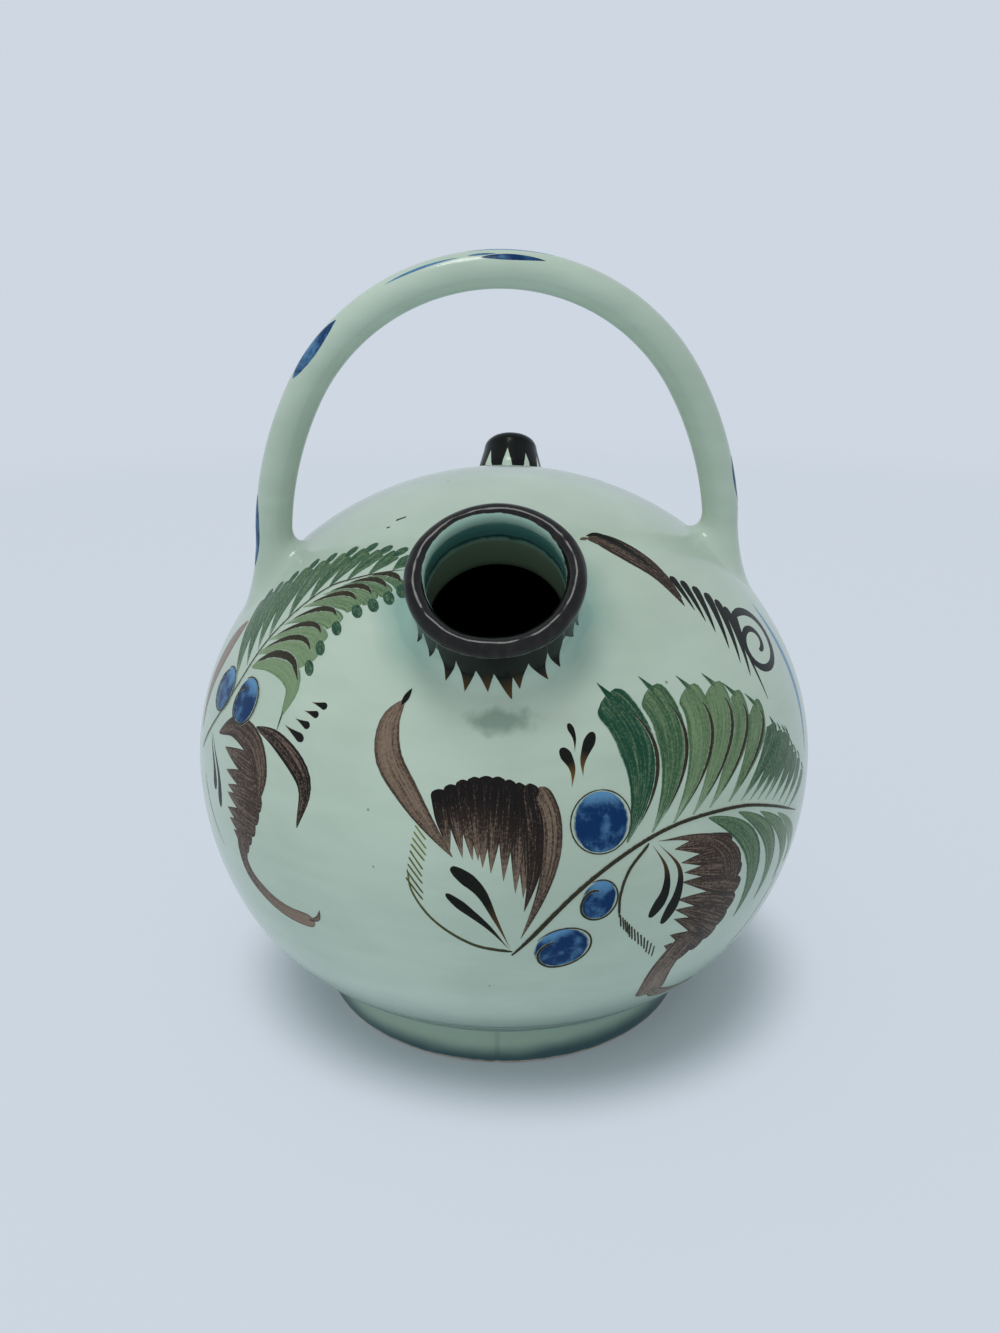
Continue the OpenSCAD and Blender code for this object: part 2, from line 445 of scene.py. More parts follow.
@dataclass(frozen=True)
class Globe:
    """The hollow body: four tangent arcs turned about the jug's axis."""

    radius: float = 0.100
    shoulder_inset: float = 0.0195
    crown_drop: float = 0.0104
    belly_inset: float = 0.004
    base_inset: float = 0.0328
    base_drop: float = 0.012
    wall: float = 0.006
    foot_lift: float = 0.0073
    drill_reach: Pair = (0.8, 1.2)
    sharp_from: float = 40.0
    sides: int = 256

    @property
    def shoulder_r(self) -> float:
        """Radius of the shoulder's arc."""
        return self.radius - self.shoulder_inset

    @property
    def crown_r(self) -> float:
        """Radius of the crown's sphere."""
        return self.shoulder_r + math.hypot(self.shoulder_inset, self.crown_drop)

    @property
    def base_r(self) -> float:
        """Radius of the base's arc."""
        return self.radius - self.belly_inset - math.hypot(self.base_inset - self.belly_inset, self.base_drop)

    @property
    def belly_z(self) -> float:
        """Level of the widest place."""
        return self.foot_lift + self.base_drop + self.base_r

    @property
    def crown_z(self) -> float:
        """Level of the crown's centre."""
        return self.belly_z - self.crown_drop

    @property
    def top_z(self) -> float:
        """Level of the globe's top."""
        return self.crown_z + self.crown_r

    def arcs(self, inset: float = 0.0) -> list[Arc]:
        """The outline's arcs from the top to the floor.

        Args:
            inset: How far they lie inside the outside.

        Returns:
            The crown's, shoulder's, belly's and base's arc.
        """
        crown_end = math.degrees(math.atan2(self.crown_drop, self.shoulder_inset))
        base_start = -math.degrees(math.atan2(self.base_drop, self.base_inset - self.belly_inset))
        return [
            Arc((0.0, self.crown_z), self.crown_r - inset, 90, crown_end),
            Arc((self.shoulder_inset, self.belly_z), self.shoulder_r - inset, crown_end, 0),
            Arc((self.belly_inset, self.belly_z), self.radius - self.belly_inset - inset, 0, base_start),
            Arc((self.base_inset, self.belly_z - self.base_drop), self.base_r - inset, base_start, -90),
        ]

    def outline(self, inset: float = 0.0, step: float = 1.6) -> list[Pair]:
        """The outline from the top pole to the middle of the floor.

        Args:
            inset: How far it lies inside the outside.
            step: The widest angle between two points, in degrees.

        Returns:
            The outline's points.
        """
        points = [(0.0, self.crown_z + self.crown_r - inset)]
        for arc in self.arcs(inset):
            points += arc.points(step)[1:]
        floor = points[-1]
        return points + straight(floor, (0.0, floor[1]), 5) + [(0.0, floor[1])]

    def level(self, x: float, y: float) -> float:
        """Height of the crown's and shoulder's outside over a place.

        Args:
            x: Across the jug.
            y: To the back.

        Returns:
            The height above the table.
        """
        radius = math.hypot(x, y)
        joint = self.crown_r * self.shoulder_inset / math.hypot(self.shoulder_inset, self.crown_drop)
        if radius < joint:
            return self.crown_z + math.sqrt(self.crown_r ** 2 - radius ** 2)
        return self.belly_z + math.sqrt(max(0.0, self.shoulder_r ** 2 - (radius - self.shoulder_inset) ** 2))

    def spot(self, bearing: float, height: float) -> np.ndarray:
        """A point of the outside.

        Args:
            bearing: Degrees from the front, towards the jug's right hand side in the picture.
            height: Millimetres above the table.

        Returns:
            The point in metres.
        """
        heights, radii = self._meridian()
        radius = float(np.interp(height * MM, heights, radii))
        turn = math.radians(bearing)
        return np.array((radius * math.sin(turn), -radius * math.cos(turn), height * MM))

    def _meridian(self) -> tuple[np.ndarray, np.ndarray]:
        """Heights and radii of the outside, from low to high."""
        points = np.array([p for arc in self.arcs() for p in arc.points(0.5)])[::-1]
        return points[:, 1], points[:, 0]

    def frame_along(self, tilt: float, side: int) -> Matrix:
        """A frame at the crown's centre whose Z leans out.

        Args:
            tilt: Degrees above the level.
            side: -1 for the front, 1 for the back.

        Returns:
            The frame's matrix.
        """
        axis = Vector((0.0, side * math.cos(math.radians(tilt)), math.sin(math.radians(tilt))))
        across = Vector((1.0, 0.0, 0.0))
        turn = Matrix((across, axis.cross(across), axis)).transposed().to_4x4()
        return Matrix.Translation((0.0, 0.0, self.crown_z)) @ turn

    def build(self, holes: Sequence[tuple[Matrix, float]]) -> Form:
        """Makes the shell, with a round hole along each given frame.

        Args:
            holes: The frames and the holes' radii.

        Returns:
            The shell, with its inside in the second material slot.
        """
        shell = turned("glazed_globe", self.outline(), self.sides)
        tools = [turned("inside", self.outline(self.wall, 3.0), self.sides // 2)]
        low, high = (self.crown_r * share for share in self.drill_reach)
        for place, radius in holes:
            drill = [(0.0, low), (radius, low), (radius, high), (0.0, high)]
            tools.append(turned("drill", drill, self.sides // 4, place=place))
        cut(shell, *tools)
        self._mark_inside(shell.data)
        return crease(shell, self.sharp_from)

    def _mark_inside(self, mesh: Mesh) -> None:
        """Gives the faces deeper than half the wall the second material slot.

        Args:
            mesh: The shell's mesh.
        """
        count = len(mesh.polygons)
        middles = np.zeros(count * 3)
        mesh.polygons.foreach_get("center", middles)
        middles = middles.reshape(-1, 3)
        flat = np.stack((np.hypot(middles[:, 0], middles[:, 1]), middles[:, 2]), axis=1)
        rim = np.array(self.outline())
        nearest = np.full(count, 1.0)
        for point in rim:
            nearest = np.minimum(nearest, np.hypot(*(flat - point).T))
        mesh.polygons.foreach_set("material_index", (nearest > self.wall / 2).astype(np.int32))


@dataclass(frozen=True)
class Tube(ABC):
    """A tube that leans out of the crown, with the hollow collar that lutes it there."""

    NAME = "tube"
    SIDE = 1
    RUN_OUT = ((0.4, 0.00001), (0.8, 0.00004), (1.4, 0.0002), (1.0, 0.0012))

    globe: Globe
    bore_r: float
    hole_r: float
    shank_r: float
    rise: float
    collar_r: float
    sides: int
    tilt: float = 52.0

    @property
    def place(self) -> Matrix:
        """The tube's frame."""
        return self.globe.frame_along(self.tilt, self.SIDE)

    @property
    def top_h(self) -> float:
        """Height of the tube's end from the crown's centre."""
        return self.globe.crown_r + self.rise

    @property
    def hollow(self) -> Arc:
        """The collar's hollow side, from the shank down to the crown."""
        reach = self.shank_r + self.collar_r
        height = math.sqrt((self.globe.crown_r + self.collar_r) ** 2 - reach ** 2)
        return Arc((reach, height), self.collar_r, 180, 270 - math.degrees(math.atan2(reach, height)))

    @abstractmethod
    def inside(self) -> list[Pair]:
        """The section up the bore."""

    @abstractmethod
    def outside(self) -> list[Pair]:
        """The section from the tube's end down to the collar."""

    def skin(self) -> list[Pair]:
        """The outside with the collar below it, down to the crown."""
        outside = self.outside()
        return outside + straight(outside[-1], self.hollow.at(180), 6) + self.hollow.points(4.0)

    def build(self) -> Form:
        """Makes the tube and its collar, which runs out on to the crown.

        Returns:
            Both as one glazed form.
        """
        skirt = []
        for spread, sink in self.RUN_OUT:
            turn = math.radians(270 - self.hollow.end + spread)
            length = self.globe.crown_r - sink
            skirt.append((length * math.sin(turn), length * math.cos(turn)))
        under = [(self.shank_r, self.globe.crown_r - self.globe.wall * 0.5)]
        section = self.inside() + self.skin() + skirt + under
        return turned(self.NAME, section, self.sides, ring=True, place=self.place)


@dataclass(frozen=True)
class Throat(Tube):
    """The filling neck at the front."""

    NAME = "filling_throat"
    SIDE = -1

    bore_r: float = 0.019
    hole_r: float = 0.0204
    shank_r: float = 0.0226
    rise: float = 0.013
    collar_r: float = 0.006
    sides: int = 160
    step_drop: float = 0.0062
    step_depth: float = 0.0005
    band_h: float = 0.002
    sharp_from: float = 50.0

    def inside(self) -> list[Pair]:
        """The bore, with the step that the thrower's finger left, and its glaze run up behind the coil.

        Returns:
            The section's points.
        """
        low = self.globe.crown_r - self.globe.wall
        bore, top = self.bore_r, self.top_h
        step, deep = top - self.step_drop, bore + self.step_depth
        return [
            (bore + 0.0012, low - 0.0012), (bore + 0.0004, low - 0.0010), (bore, low - 0.0002),
            *straight((bore, low), (bore, step), 6),
            (bore, step - 0.0006), (deep, step), (deep, step + 0.0012), (bore + 0.0002, step + 0.0024),
            (bore, top), (bore + 0.00015, top + 0.0010), (bore + 0.0003, top + 0.0018),
            (bore + 0.0015, top + 0.0018),
        ]

    def outside(self) -> list[Pair]:
        """The straight outside below the coil."""
        return [(self.shank_r, self.top_h), (self.shank_r, self.top_h - self.band_h)]

    def build(self) -> Form:
        """Makes the neck with its sharp edges."""
        return crease(super().build(), self.sharp_from)


@dataclass(frozen=True)
class Spout(Tube):
    """The tapered pouring spout at the back."""

    NAME = "spout_horn"

    bore_r: float = 0.0045
    hole_r: float = 0.0055
    shank_r: float = 0.0114
    rise: float = 0.0198
    collar_r: float = 0.0044
    sides: int = 96
    tip_r: float = 0.0093
    mouth_r: float = 0.0005
    shank_h: float = 0.007
    bore_shift: float = 0.001

    def inside(self) -> list[Pair]:
        """The straight bore."""
        low, top = self.globe.crown_r - self.globe.wall, self.top_h - self.bore_shift
        return [(self.bore_r, low - self.bore_shift), *straight((self.bore_r, low), (self.bore_r, top), 6)]

    def outside(self) -> list[Pair]:
        """The rounded mouth, the domed tip and the taper down to the collar.

        Returns:
            The section's points.
        """
        crest = self.bore_r + self.mouth_r
        dome_r = self.tip_r - crest
        mouth = Arc((crest, self.top_h - self.mouth_r), self.mouth_r, 180, 90)
        dome = Arc((crest, self.top_h - dome_r), dome_r, 90, 0)
        low = (self.shank_r, self.globe.crown_r + self.shank_h)
        return mouth.points(30) + dome.points(8)[1:] + straight(dome.at(0), low, 5) + [low]


@dataclass(frozen=True)
class Lip:
    """The coil that rounds the mouth, pressed flat where it sits on the rim."""

    throat: Throat
    thickness: float = 0.0056
    sit: float = 0.0016
    overhang: float = 0.00085
    oval: float = 0.00018
    waver: float = 0.00010
    sides: int = 160

    @property
    def middle(self) -> float:
        """Distance of the coil's own line from the neck's axis."""
        return (self.throat.bore_r + self.throat.shank_r) / 2 + self.overhang

    def build(self) -> Form:
        """Makes the coil, a little uneven as a hand-set one is.

        Returns:
            The coil.
        """
        height = self.throat.top_h + self.sit
        half = self.thickness / 2
        start = math.degrees(math.asin(self.sit / half))
        coil = Arc((self.middle, height), half, -start, 180 + start)
        seat = straight(coil.at(180 + start), coil.at(-start), 3)
        return turned("mouth_coil", coil.points(9.0) + seat, self.sides, ring=True, place=self.throat.place,
                      wobble=self._wobble)

    def _wobble(self, turn: float) -> float:
        """How far the coil strays from its circle at an angle."""
        return self.oval * math.sin(2 * turn + 0.6) + self.waver * math.sin(5 * turn)


@dataclass(frozen=True)
class Foot:
    """The foot ring with its worn edge and the groove where it meets the globe."""

    globe: Globe
    radius: float = 0.0613
    wall: float = 0.010
    edge_r: float = 0.0015
    groove_r: float = 0.0009
    tuck: Pair = (0.002, 0.0008)
    inner_drop: float = 0.003
    seam_w: float = 0.0008
    seam_depth: float = 0.0003
    sharp_from: float = 50.0
    sides: int = 256

    @property
    def joint_z(self) -> float:
        """Level where the ring's outside meets the globe."""
        base = self.globe.arcs()[3]
        return base.centre[1] - math.sqrt(base.radius ** 2 - (self.radius - base.centre[0]) ** 2)

    def build(self) -> Form:
        """Makes the ring, with the butted seam in front.

        Returns:
            The ring.
        """
        inner = self.radius - self.wall
        low_out = Arc((self.radius - self.edge_r, self.edge_r), self.edge_r, -90, 0)
        low_in = Arc((inner + self.edge_r, self.edge_r), self.edge_r, 180, 270)
        groove = Arc((self.radius, self.joint_z), self.groove_r, 270, 180)
        side = straight(low_out.at(0), groove.at(270), 8)
        under = (inner, self.joint_z - self.inner_drop)
        outline = low_out.points(15) + side + groove.points(15)
        outline += [(self.radius - self.tuck[0], self.joint_z + self.tuck[1]), under]
        outline += straight(under, low_in.at(180), 4) + low_in.points(15)
        made = turned("foot_rim", outline, self.sides, ring=True)
        self._press_seam(made.data)
        return crease(made, self.sharp_from)

    def _press_seam(self, mesh: Mesh) -> None:
        """Dents the outside along the seam, with soft sides.

        Args:
            mesh: The ring's mesh.
        """
        for vertex in mesh.vertices:
            x, y, _ = vertex.co
            if y > 0 or math.hypot(x, y) < self.radius - self.edge_r:
                continue
            vertex.co.y = y + self.seam_depth * math.exp(-(x / self.seam_w) ** 2)


@dataclass(frozen=True)
class Handle:
    """The overhead loop of three arcs, set a little askew by hand, with flared roots."""

    globe: Globe
    thickness: float = 0.0114
    span: float = 0.142
    rise: float = 0.062
    side_reach: float = 0.0375
    top_lift: float = 0.020
    root_h: float = 0.0146
    root_flare: float = 0.0068
    turn: float = 6.0
    cant: float = 1.5
    shift: float = -0.002
    root_sink: float = 0.00015
    seat_share: float = 0.9
    seat_drop: float = 0.0015
    sharp_from: float = 60.0
    sides: int = 56
    side_steps: int = 18
    top_steps: int = 60
    root_steps: int = 18

    @property
    def side_r(self) -> float:
        """Radius of a side's arc."""
        return self.span / 2 + self.side_reach

    @property
    def arch_r(self) -> float:
        """Radius of the top's arc."""
        return self.side_r - math.hypot(self.side_reach, self.top_lift)

    @property
    def arch_z(self) -> float:
        """Level of the top arc's centre."""
        return self.globe.top_z + self.rise - self.arch_r

    @property
    def joint(self) -> float:
        """Angle at which a side's arc meets the top's, in degrees."""
        return math.degrees(math.atan2(self.top_lift, self.side_reach))

    def set_askew(self, x: float, y: float, z: float) -> np.ndarray:
        """The place of a point of the upright arch once the arch is set askew.

        Args:
            x: Across the jug.
            y: To the back.
            z: Up from the table.

        Returns:
            The point in metres.
        """
        cant, turn = math.radians(self.cant), math.radians(self.turn)
        up = z - self.globe.top_z
        along = x * math.cos(cant) - up * math.sin(cant)
        return np.array((self.shift + along * math.cos(turn) - y * math.sin(turn),
                         along * math.sin(turn) + y * math.cos(turn),
                         self.globe.top_z + x * math.sin(cant) + up * math.cos(cant)))

    def beside(self, centre: Pair, radius: float, angle: float, out: float, around: float) -> np.ndarray:
        """A point beside an arc.

        Args:
            centre: The arc's centre, across and up.
            radius: The arc's radius.
            angle: Where along the arc, in degrees.
            out: How far from the arc's line.
            around: Where around that line, in radians, from the loop's outside.

        Returns:
            The point in metres.
        """
        reach = radius + out * math.cos(around)
        turn = math.radians(angle)
        return self.set_askew(centre[0] + reach * math.cos(turn), out * math.sin(around),
                              centre[1] + reach * math.sin(turn))

    def side_centre(self, side: int) -> Pair:
        """Centre of a side's arc; side is 1 or -1."""
        return (-side * self.side_reach, self.arch_z - self.top_lift)

    def leg_end(self, side: int) -> float:
        """Where a leg ends above its root.

        Args:
            side: 1 for the right leg, -1 for the left.

        Returns:
            The angle on the side's arc, in degrees.
        """
        foot = self.set_askew(side * self.span / 2, 0.0, self.arch_z - self.top_lift)
        drop = self.globe.level(foot[0], foot[1]) + self.root_h - foot[2]
        angle = math.degrees(math.asin(drop / self.side_r))
        return angle if side > 0 else 180 - angle

    def line(self) -> list[tuple[Pair, float, float]]:
        """Where the loop's rings lie, from the right leg over to the left.

        Returns:
            The arc's centre, its radius and the angle on it, for each ring.
        """
        right, left = self.leg_end(1), self.leg_end(-1)
        sides = np.linspace(right, self.joint, self.side_steps)
        stations = [(self.side_centre(1), self.side_r, a) for a in sides]
        tops = np.linspace(self.joint, 180 - self.joint, self.top_steps)[1:-1]
        stations += [((0.0, self.arch_z), self.arch_r, a) for a in tops]
        sides = np.linspace(180 - self.joint, left, self.side_steps)
        return stations + [(self.side_centre(-1), self.side_r, a) for a in sides]

    def root(self, side: int) -> list[list[np.ndarray]]:
        """Rings of a root, from below the leg's end out and down until they sink into the crown.

        Args:
            side: 1 for the right leg, -1 for the left.

        Returns:
            The rings from top to bottom.
        """
        rings = []
        centre, end = self.side_centre(side), self.leg_end(side)
        for step in range(1, self.root_steps + 1):
            sweep = math.pi / 2 * step / self.root_steps
            out = self.thickness / 2 + self.root_flare * (1 - math.cos(sweep))
            ring = []
            for around in self._turns():
                start = self.beside(centre, self.side_r, end, self.thickness / 2, around)
                height = start[2] - self.globe.level(start[0], start[1])
                point = self.beside(centre, self.side_r, end, out, around)
                lift = height * (1 - math.sin(sweep)) - self.root_sink * (step == self.root_steps)
                point[2] = self.globe.level(point[0], point[1]) + lift
                ring.append(point)
            rings.append(ring)
        seat = np.mean(rings[-1], axis=0)
        drop = np.array((0, 0, self.seat_drop))
        return rings + [[seat + (p - seat) * self.seat_share - drop for p in rings[-1]]]

    def skin(self, angle: float, around: float) -> np.ndarray:
        """A point of the loop's outside.

        Args:
            angle: Where over the arch, in degrees.
            around: Where around the handle's line, in radians.

        Returns:
            The point in metres.
        """
        if self.joint <= angle <= 180 - self.joint:
            return self.beside((0.0, self.arch_z), self.arch_r, angle, self.thickness / 2, around)
        side = 1 if angle < 90 else -1
        return self.beside(self.side_centre(side), self.side_r, angle, self.thickness / 2, around)

    def _turns(self) -> np.ndarray:
        """Angles around the handle's line."""
        return np.linspace(0, 2 * math.pi, self.sides, endpoint=False)

    def build(self) -> Form:
        """Makes the loop and both roots.

        Returns:
            All three as one glazed form.
        """
        out = self.thickness / 2
        arch = [[self.beside(*station, out, turn) for turn in self._turns()] for station in self.line()]
        rings = self.root(1)[::-1] + arch + self.root(-1)
        points = [p for ring in rings for p in ring]
        numbers = [list(range(i * self.sides, (i + 1) * self.sides)) for i in range(len(rings))]
        faces = ring_faces(numbers) + [numbers[0], numbers[-1]]
        return crease(mesh_object("handle_loop", points, faces), self.sharp_from)


# Finishes

def tube_parts(graph: Graph, tube: Tube) -> tuple[Socket, Socket, Socket]:
    """Where a place lies from a tube's axis.

    Args:
        graph: The material's tree.
        tube: The neck or the spout.

    Returns:
        The way from the crown's centre, and how far it goes along the axis and beside it.
    """
    axis = tuple(tube.place.to_3x3() @ Vector((0, 0, 1)))
    way = graph.vector("SUBTRACT", graph.place, (0.0, 0.0, tube.globe.crown_z))
    along = graph.vector("DOT_PRODUCT", way, axis)
    return way, along, graph.vector("LENGTH", graph.vector("CROSS_PRODUCT", way, axis))


@dataclass(frozen=True)
class Celadon:
    """The pale green ground, which the glazed forms and the paint on them share.

    The painted shade lines above the foot, a painted shadow and a painted reflection of the dark foot at the
    globe's lower edge, are each given by height, width and strength.
    """

    globe: Globe
    throat: Throat
    foot: Foot
    pale: Colour = seen(189, 209, 194)
    grey: Colour = seen(173, 193, 178)
    pooled: Colour = seen(98, 158, 148)
    # deep teal: the foot's real runs and seam, and also the painted shade lines above the foot
    deep: Colour = seen(50, 82, 88)
    # painted shade low on the globe, above the foot
    under: Colour = seen(66, 112, 90)
    # painted shade below the neck's front
    painted_neck_shade: Colour = seen(112, 140, 124)
    speck: Colour = seen(70, 74, 62)
    bore_pale: Colour = seen(146, 180, 164)
    bore_teal: Colour = seen(72, 124, 118)
    bore_low: Colour = seen(104, 126, 106)
    bore_ring: Colour = seen(24, 50, 46)
    neck_black: Colour = seen(14, 16, 14)
    foot_grey: Colour = seen(164, 190, 174)
    foot_joint: Colour = seen(62, 92, 86)
    bare_clay: Colour = seen(178, 170, 158)
    # painted shadow and painted reflection lines at the globe's lower edge over the foot
    painted_shade_lines: tuple[Triple, ...] = ((0.0215, 0.0034, 0.9), (0.0282, 0.0010, 0.5))
    # where the painted shade below the neck lies
    neck_shade_at: Pair = (1.0, 130.6)
    name: str = "celadon_ground"

    def group(self) -> bpy.types.NodeTree:
        """The tree that gives the ground's colour at a place, made once.

        Returns:
            The node group.
        """
        made = bpy.data.node_groups.get(self.name)
        if made is not None:
            return made
        made = bpy.data.node_groups.new(self.name, "ShaderNodeTree")
        made.interface.new_socket("Place", in_out="INPUT", socket_type="NodeSocketVector")
        made.interface.new_socket("Color", in_out="OUTPUT", socket_type="NodeSocketColor")
        graph = Graph(made)
        graph.place = graph.node("NodeGroupInput").outputs[0]
        colour = self._clouds(graph)
        for change in (self._neck_pool, self._painted_foot_shade, self._shade_below_neck, self._specks):
            colour = change(graph, colour)
        graph.end("NodeGroupOutput", colour)
        return made

    def _clouds(self, graph: Graph) -> Socket:
        """Thin and thick glaze in broad clouds, with faint wiping marks.

        Args:
            graph: The tree.

        Returns:
            Their colour.
        """
        broad = graph.noise(11.0, 3.0, 0.55)
        wiped = graph.noise(1.0, 3.0, place=graph.vector("MULTIPLY", graph.place, (40.0, 40.0, 160.0)))
        both = graph.math("MULTIPLY_ADD", wiped, 0.25, graph.math("MULTIPLY", broad, 0.75))
        return graph.blend(graph.ease(both, 0.36, 0.66), self.pale, self.grey)

    def _neck_pool(self, graph: Graph, colour: Socket) -> Socket:
        """Glaze that gathered round the neck, most at its sides; in front it is kept weak as painted light on
        the lit collar.

        Args:
            graph: The tree.
            colour: The colour so far.

        Returns:
            The colour with the pool.
        """
        _, along, beside = tube_parts(graph, self.throat)
        edge = graph.ragged(beside, 38.0, 0.018)
        pool = graph.math("MAXIMUM", graph.ease(edge, 0.033, 0.046, 0.5, 0.0),
                          graph.ease(edge, 0.0345, 0.0385, 0.6, 0.0))
        front = graph.ease(along, 0.03, 0.06)
        thin = graph.ease(along, 0.1035, 0.111, 1.0, 0.25)
        near = graph.math("MULTIPLY", pool, graph.math("MULTIPLY", front, thin))
        # the pool fades in front, a painted lightening where the light falls on the collar's front
        sides = graph.ease(graph.math("ABSOLUTE", graph.split(graph.place)[0]), 0.008, 0.026, 0.2, 1.0)
        return graph.blend(graph.math("MULTIPLY", near, sides), colour, self.pooled)

    def _painted_foot_shade(self, graph: Graph, colour: Socket) -> Socket:
        """Painted shade on the globe above the foot: a broad painted shade under the globe and painted shadow
        lines.

        Args:
            graph: The tree.
            colour: The colour so far.

        Returns:
            The colour with the shade and the lines.
        """
        height = graph.split(graph.place)[2]
        # a broad painted shade under the globe, above the foot
        colour = graph.blend(graph.ease(height, 0.020, 0.046, 0.7, 0.0), colour, self.under)
        # painted shadow lines at the globe's lower edge over the foot
        for middle, width, strength in self.painted_shade_lines:
            line = graph.ease(graph.apart(height, middle), 0.3 * width, width, strength, 0.0)
            colour = graph.blend(line, colour, self.deep)
        return colour

    def _shade_below_neck(self, graph: Graph, colour: Socket) -> Socket:
        """Painted shade on the globe below the neck, where the collar's crease shades it.

        Args:
            graph: The tree.
            colour: The colour so far.

        Returns:
            The colour with the smudge.
        """
        way = graph.vector("SUBTRACT", graph.place, tuple(self.globe.spot(*self.neck_shade_at)))
        away = graph.vector("LENGTH", graph.vector("MULTIPLY", way, (1.0, 2.6, 2.6)))
        edge = graph.ragged(away, 170.0, 0.016, 3.0)
        return graph.blend(graph.ease(edge, 0.012, 0.020, 0.75, 0.0), colour, self.painted_neck_shade)

    def _specks(self, graph: Graph, colour: Socket) -> Socket:
        """A few iron specks that burnt through.

        Args:
            graph: The tree.
            colour: The colour so far.

        Returns:
            The colour with the specks.
        """
        cells = graph.node("ShaderNodeTexVoronoi", {"Vector": graph.place, "Scale": 62.0})
        chosen = graph.node("ShaderNodeSeparateColor", {0: cells.outputs["Color"]})
        size = graph.ease(chosen.outputs[0], 0.72, 1.0, 0.0, 0.036)
        share = graph.math("LESS_THAN", cells.outputs["Distance"], size)
        return graph.blend(graph.math("MULTIPLY", share, 0.55), colour, self.speck)

    def colour(self, graph: Graph) -> Socket:
        """The ground's colour in a material's tree."""
        return graph.node("ShaderNodeGroup", {0: graph.place}, node_tree=self.group()).outputs[0]

    def glazed(self) -> Material:
        """The glaze on the globe and the handle.

        Returns:
            The material.
        """
        made, graph = material_graph("celadon_glaze")
        Gloss().shader(graph, self.colour(graph))
        return made

    def neck_inside(self) -> Material:
        """The glaze on the neck: in the bore pale at the rim, with a dark ring in the step; outside black.

        Returns:
            The material.
        """
        made, graph = material_graph("neck_glaze")
        _, along, beside = tube_parts(graph, self.throat)
        rim, bore = self.throat.top_h, self.throat.bore_r
        step = rim - self.throat.step_drop
        height = graph.ragged(along, 220.0, 0.0016)
        upper = graph.blend(graph.ease(height, rim + 0.0004, rim + 0.0030), self.bore_teal, self.bore_pale)
        tint = graph.blend(graph.ease(height, step - 0.0006, step + 0.0012), self.bore_low, upper)
        ring = graph.ease(graph.apart(height, step + 0.0011), 0.0001, 0.0009, 0.9, 0.0)
        tint = graph.blend(ring, tint, self.bore_ring)
        outside = graph.ease(beside, bore + 0.0010, bore + 0.0016)
        band = graph.ease(height, rim - 0.0066, rim - 0.0060)
        skin = graph.blend(band, self.colour(graph), self.neck_black)
        Gloss().shader(graph, graph.blend(outside, tint, skin))
        return made

    def foot_glaze(self) -> Material:
        """The foot's glaze, deep teal towards the worn bare edge, the teal raised towards the right as painted
        shade.

        Returns:
            The material.
        """
        made, graph = material_graph("foot_glaze")
        x, y, z = graph.split(graph.place)
        # deep teal runs at the bottom, raised towards the right as painted shade
        runs_and_shade = graph.math("SUBTRACT", graph.ragged(z, 60.0, 0.003),
                          graph.ease(x, -0.03, 0.05, 0.0004, 0.0022))
        colour = graph.blend(0.8, self.colour(graph), self.foot_grey)
        colour = graph.blend(graph.ease(runs_and_shade, 0.0024, 0.0096, 1.0, 0.0), colour, self.deep)
        line = graph.ease(graph.apart(z, self.foot.joint_z - 0.0006), 0.0, 0.0012, 0.9, 0.0)
        colour = graph.blend(line, colour, self.foot_joint)
        seam = graph.math("MULTIPLY", graph.ease(graph.math("ABSOLUTE", x), 0.0002, 0.0014, 0.2, 0.0),
                          graph.math("LESS_THAN", y, 0.0))
        colour = graph.blend(seam, colour, self.deep)
        bare = graph.ease(graph.ragged(z, 190.0, 0.0009), 0.0014, 0.0020, 1.0, 0.0)
        colour = graph.blend(bare, colour, self.bare_clay)
        Gloss(roughness=0.3, coat=0.4).shader(graph, colour)
        return made


@dataclass(frozen=True)
class PaintedInsideShade:
    """A dark matt brown inside the jug, painted dark to stand for the deep shade there."""

    # painted shade: the inside is coloured dark to stand for its deep shade
    inside_shade_brown: Colour = seen(52, 44, 38)
    darker_blotch: Colour = seen(26, 23, 21)

    def material(self) -> Material:
        """A dark matt brown with darker blotches, painted as shade.

        Returns:
            The material.
        """
        made, graph = material_graph("inside_painted_shade")
        colour = graph.blend(graph.ease(graph.noise(45.0, 4.0), 0.35, 0.65), self.inside_shade_brown, self.darker_blotch)
        Gloss(roughness=0.75, coat=0.0).shader(graph, colour, 300.0)
        return made


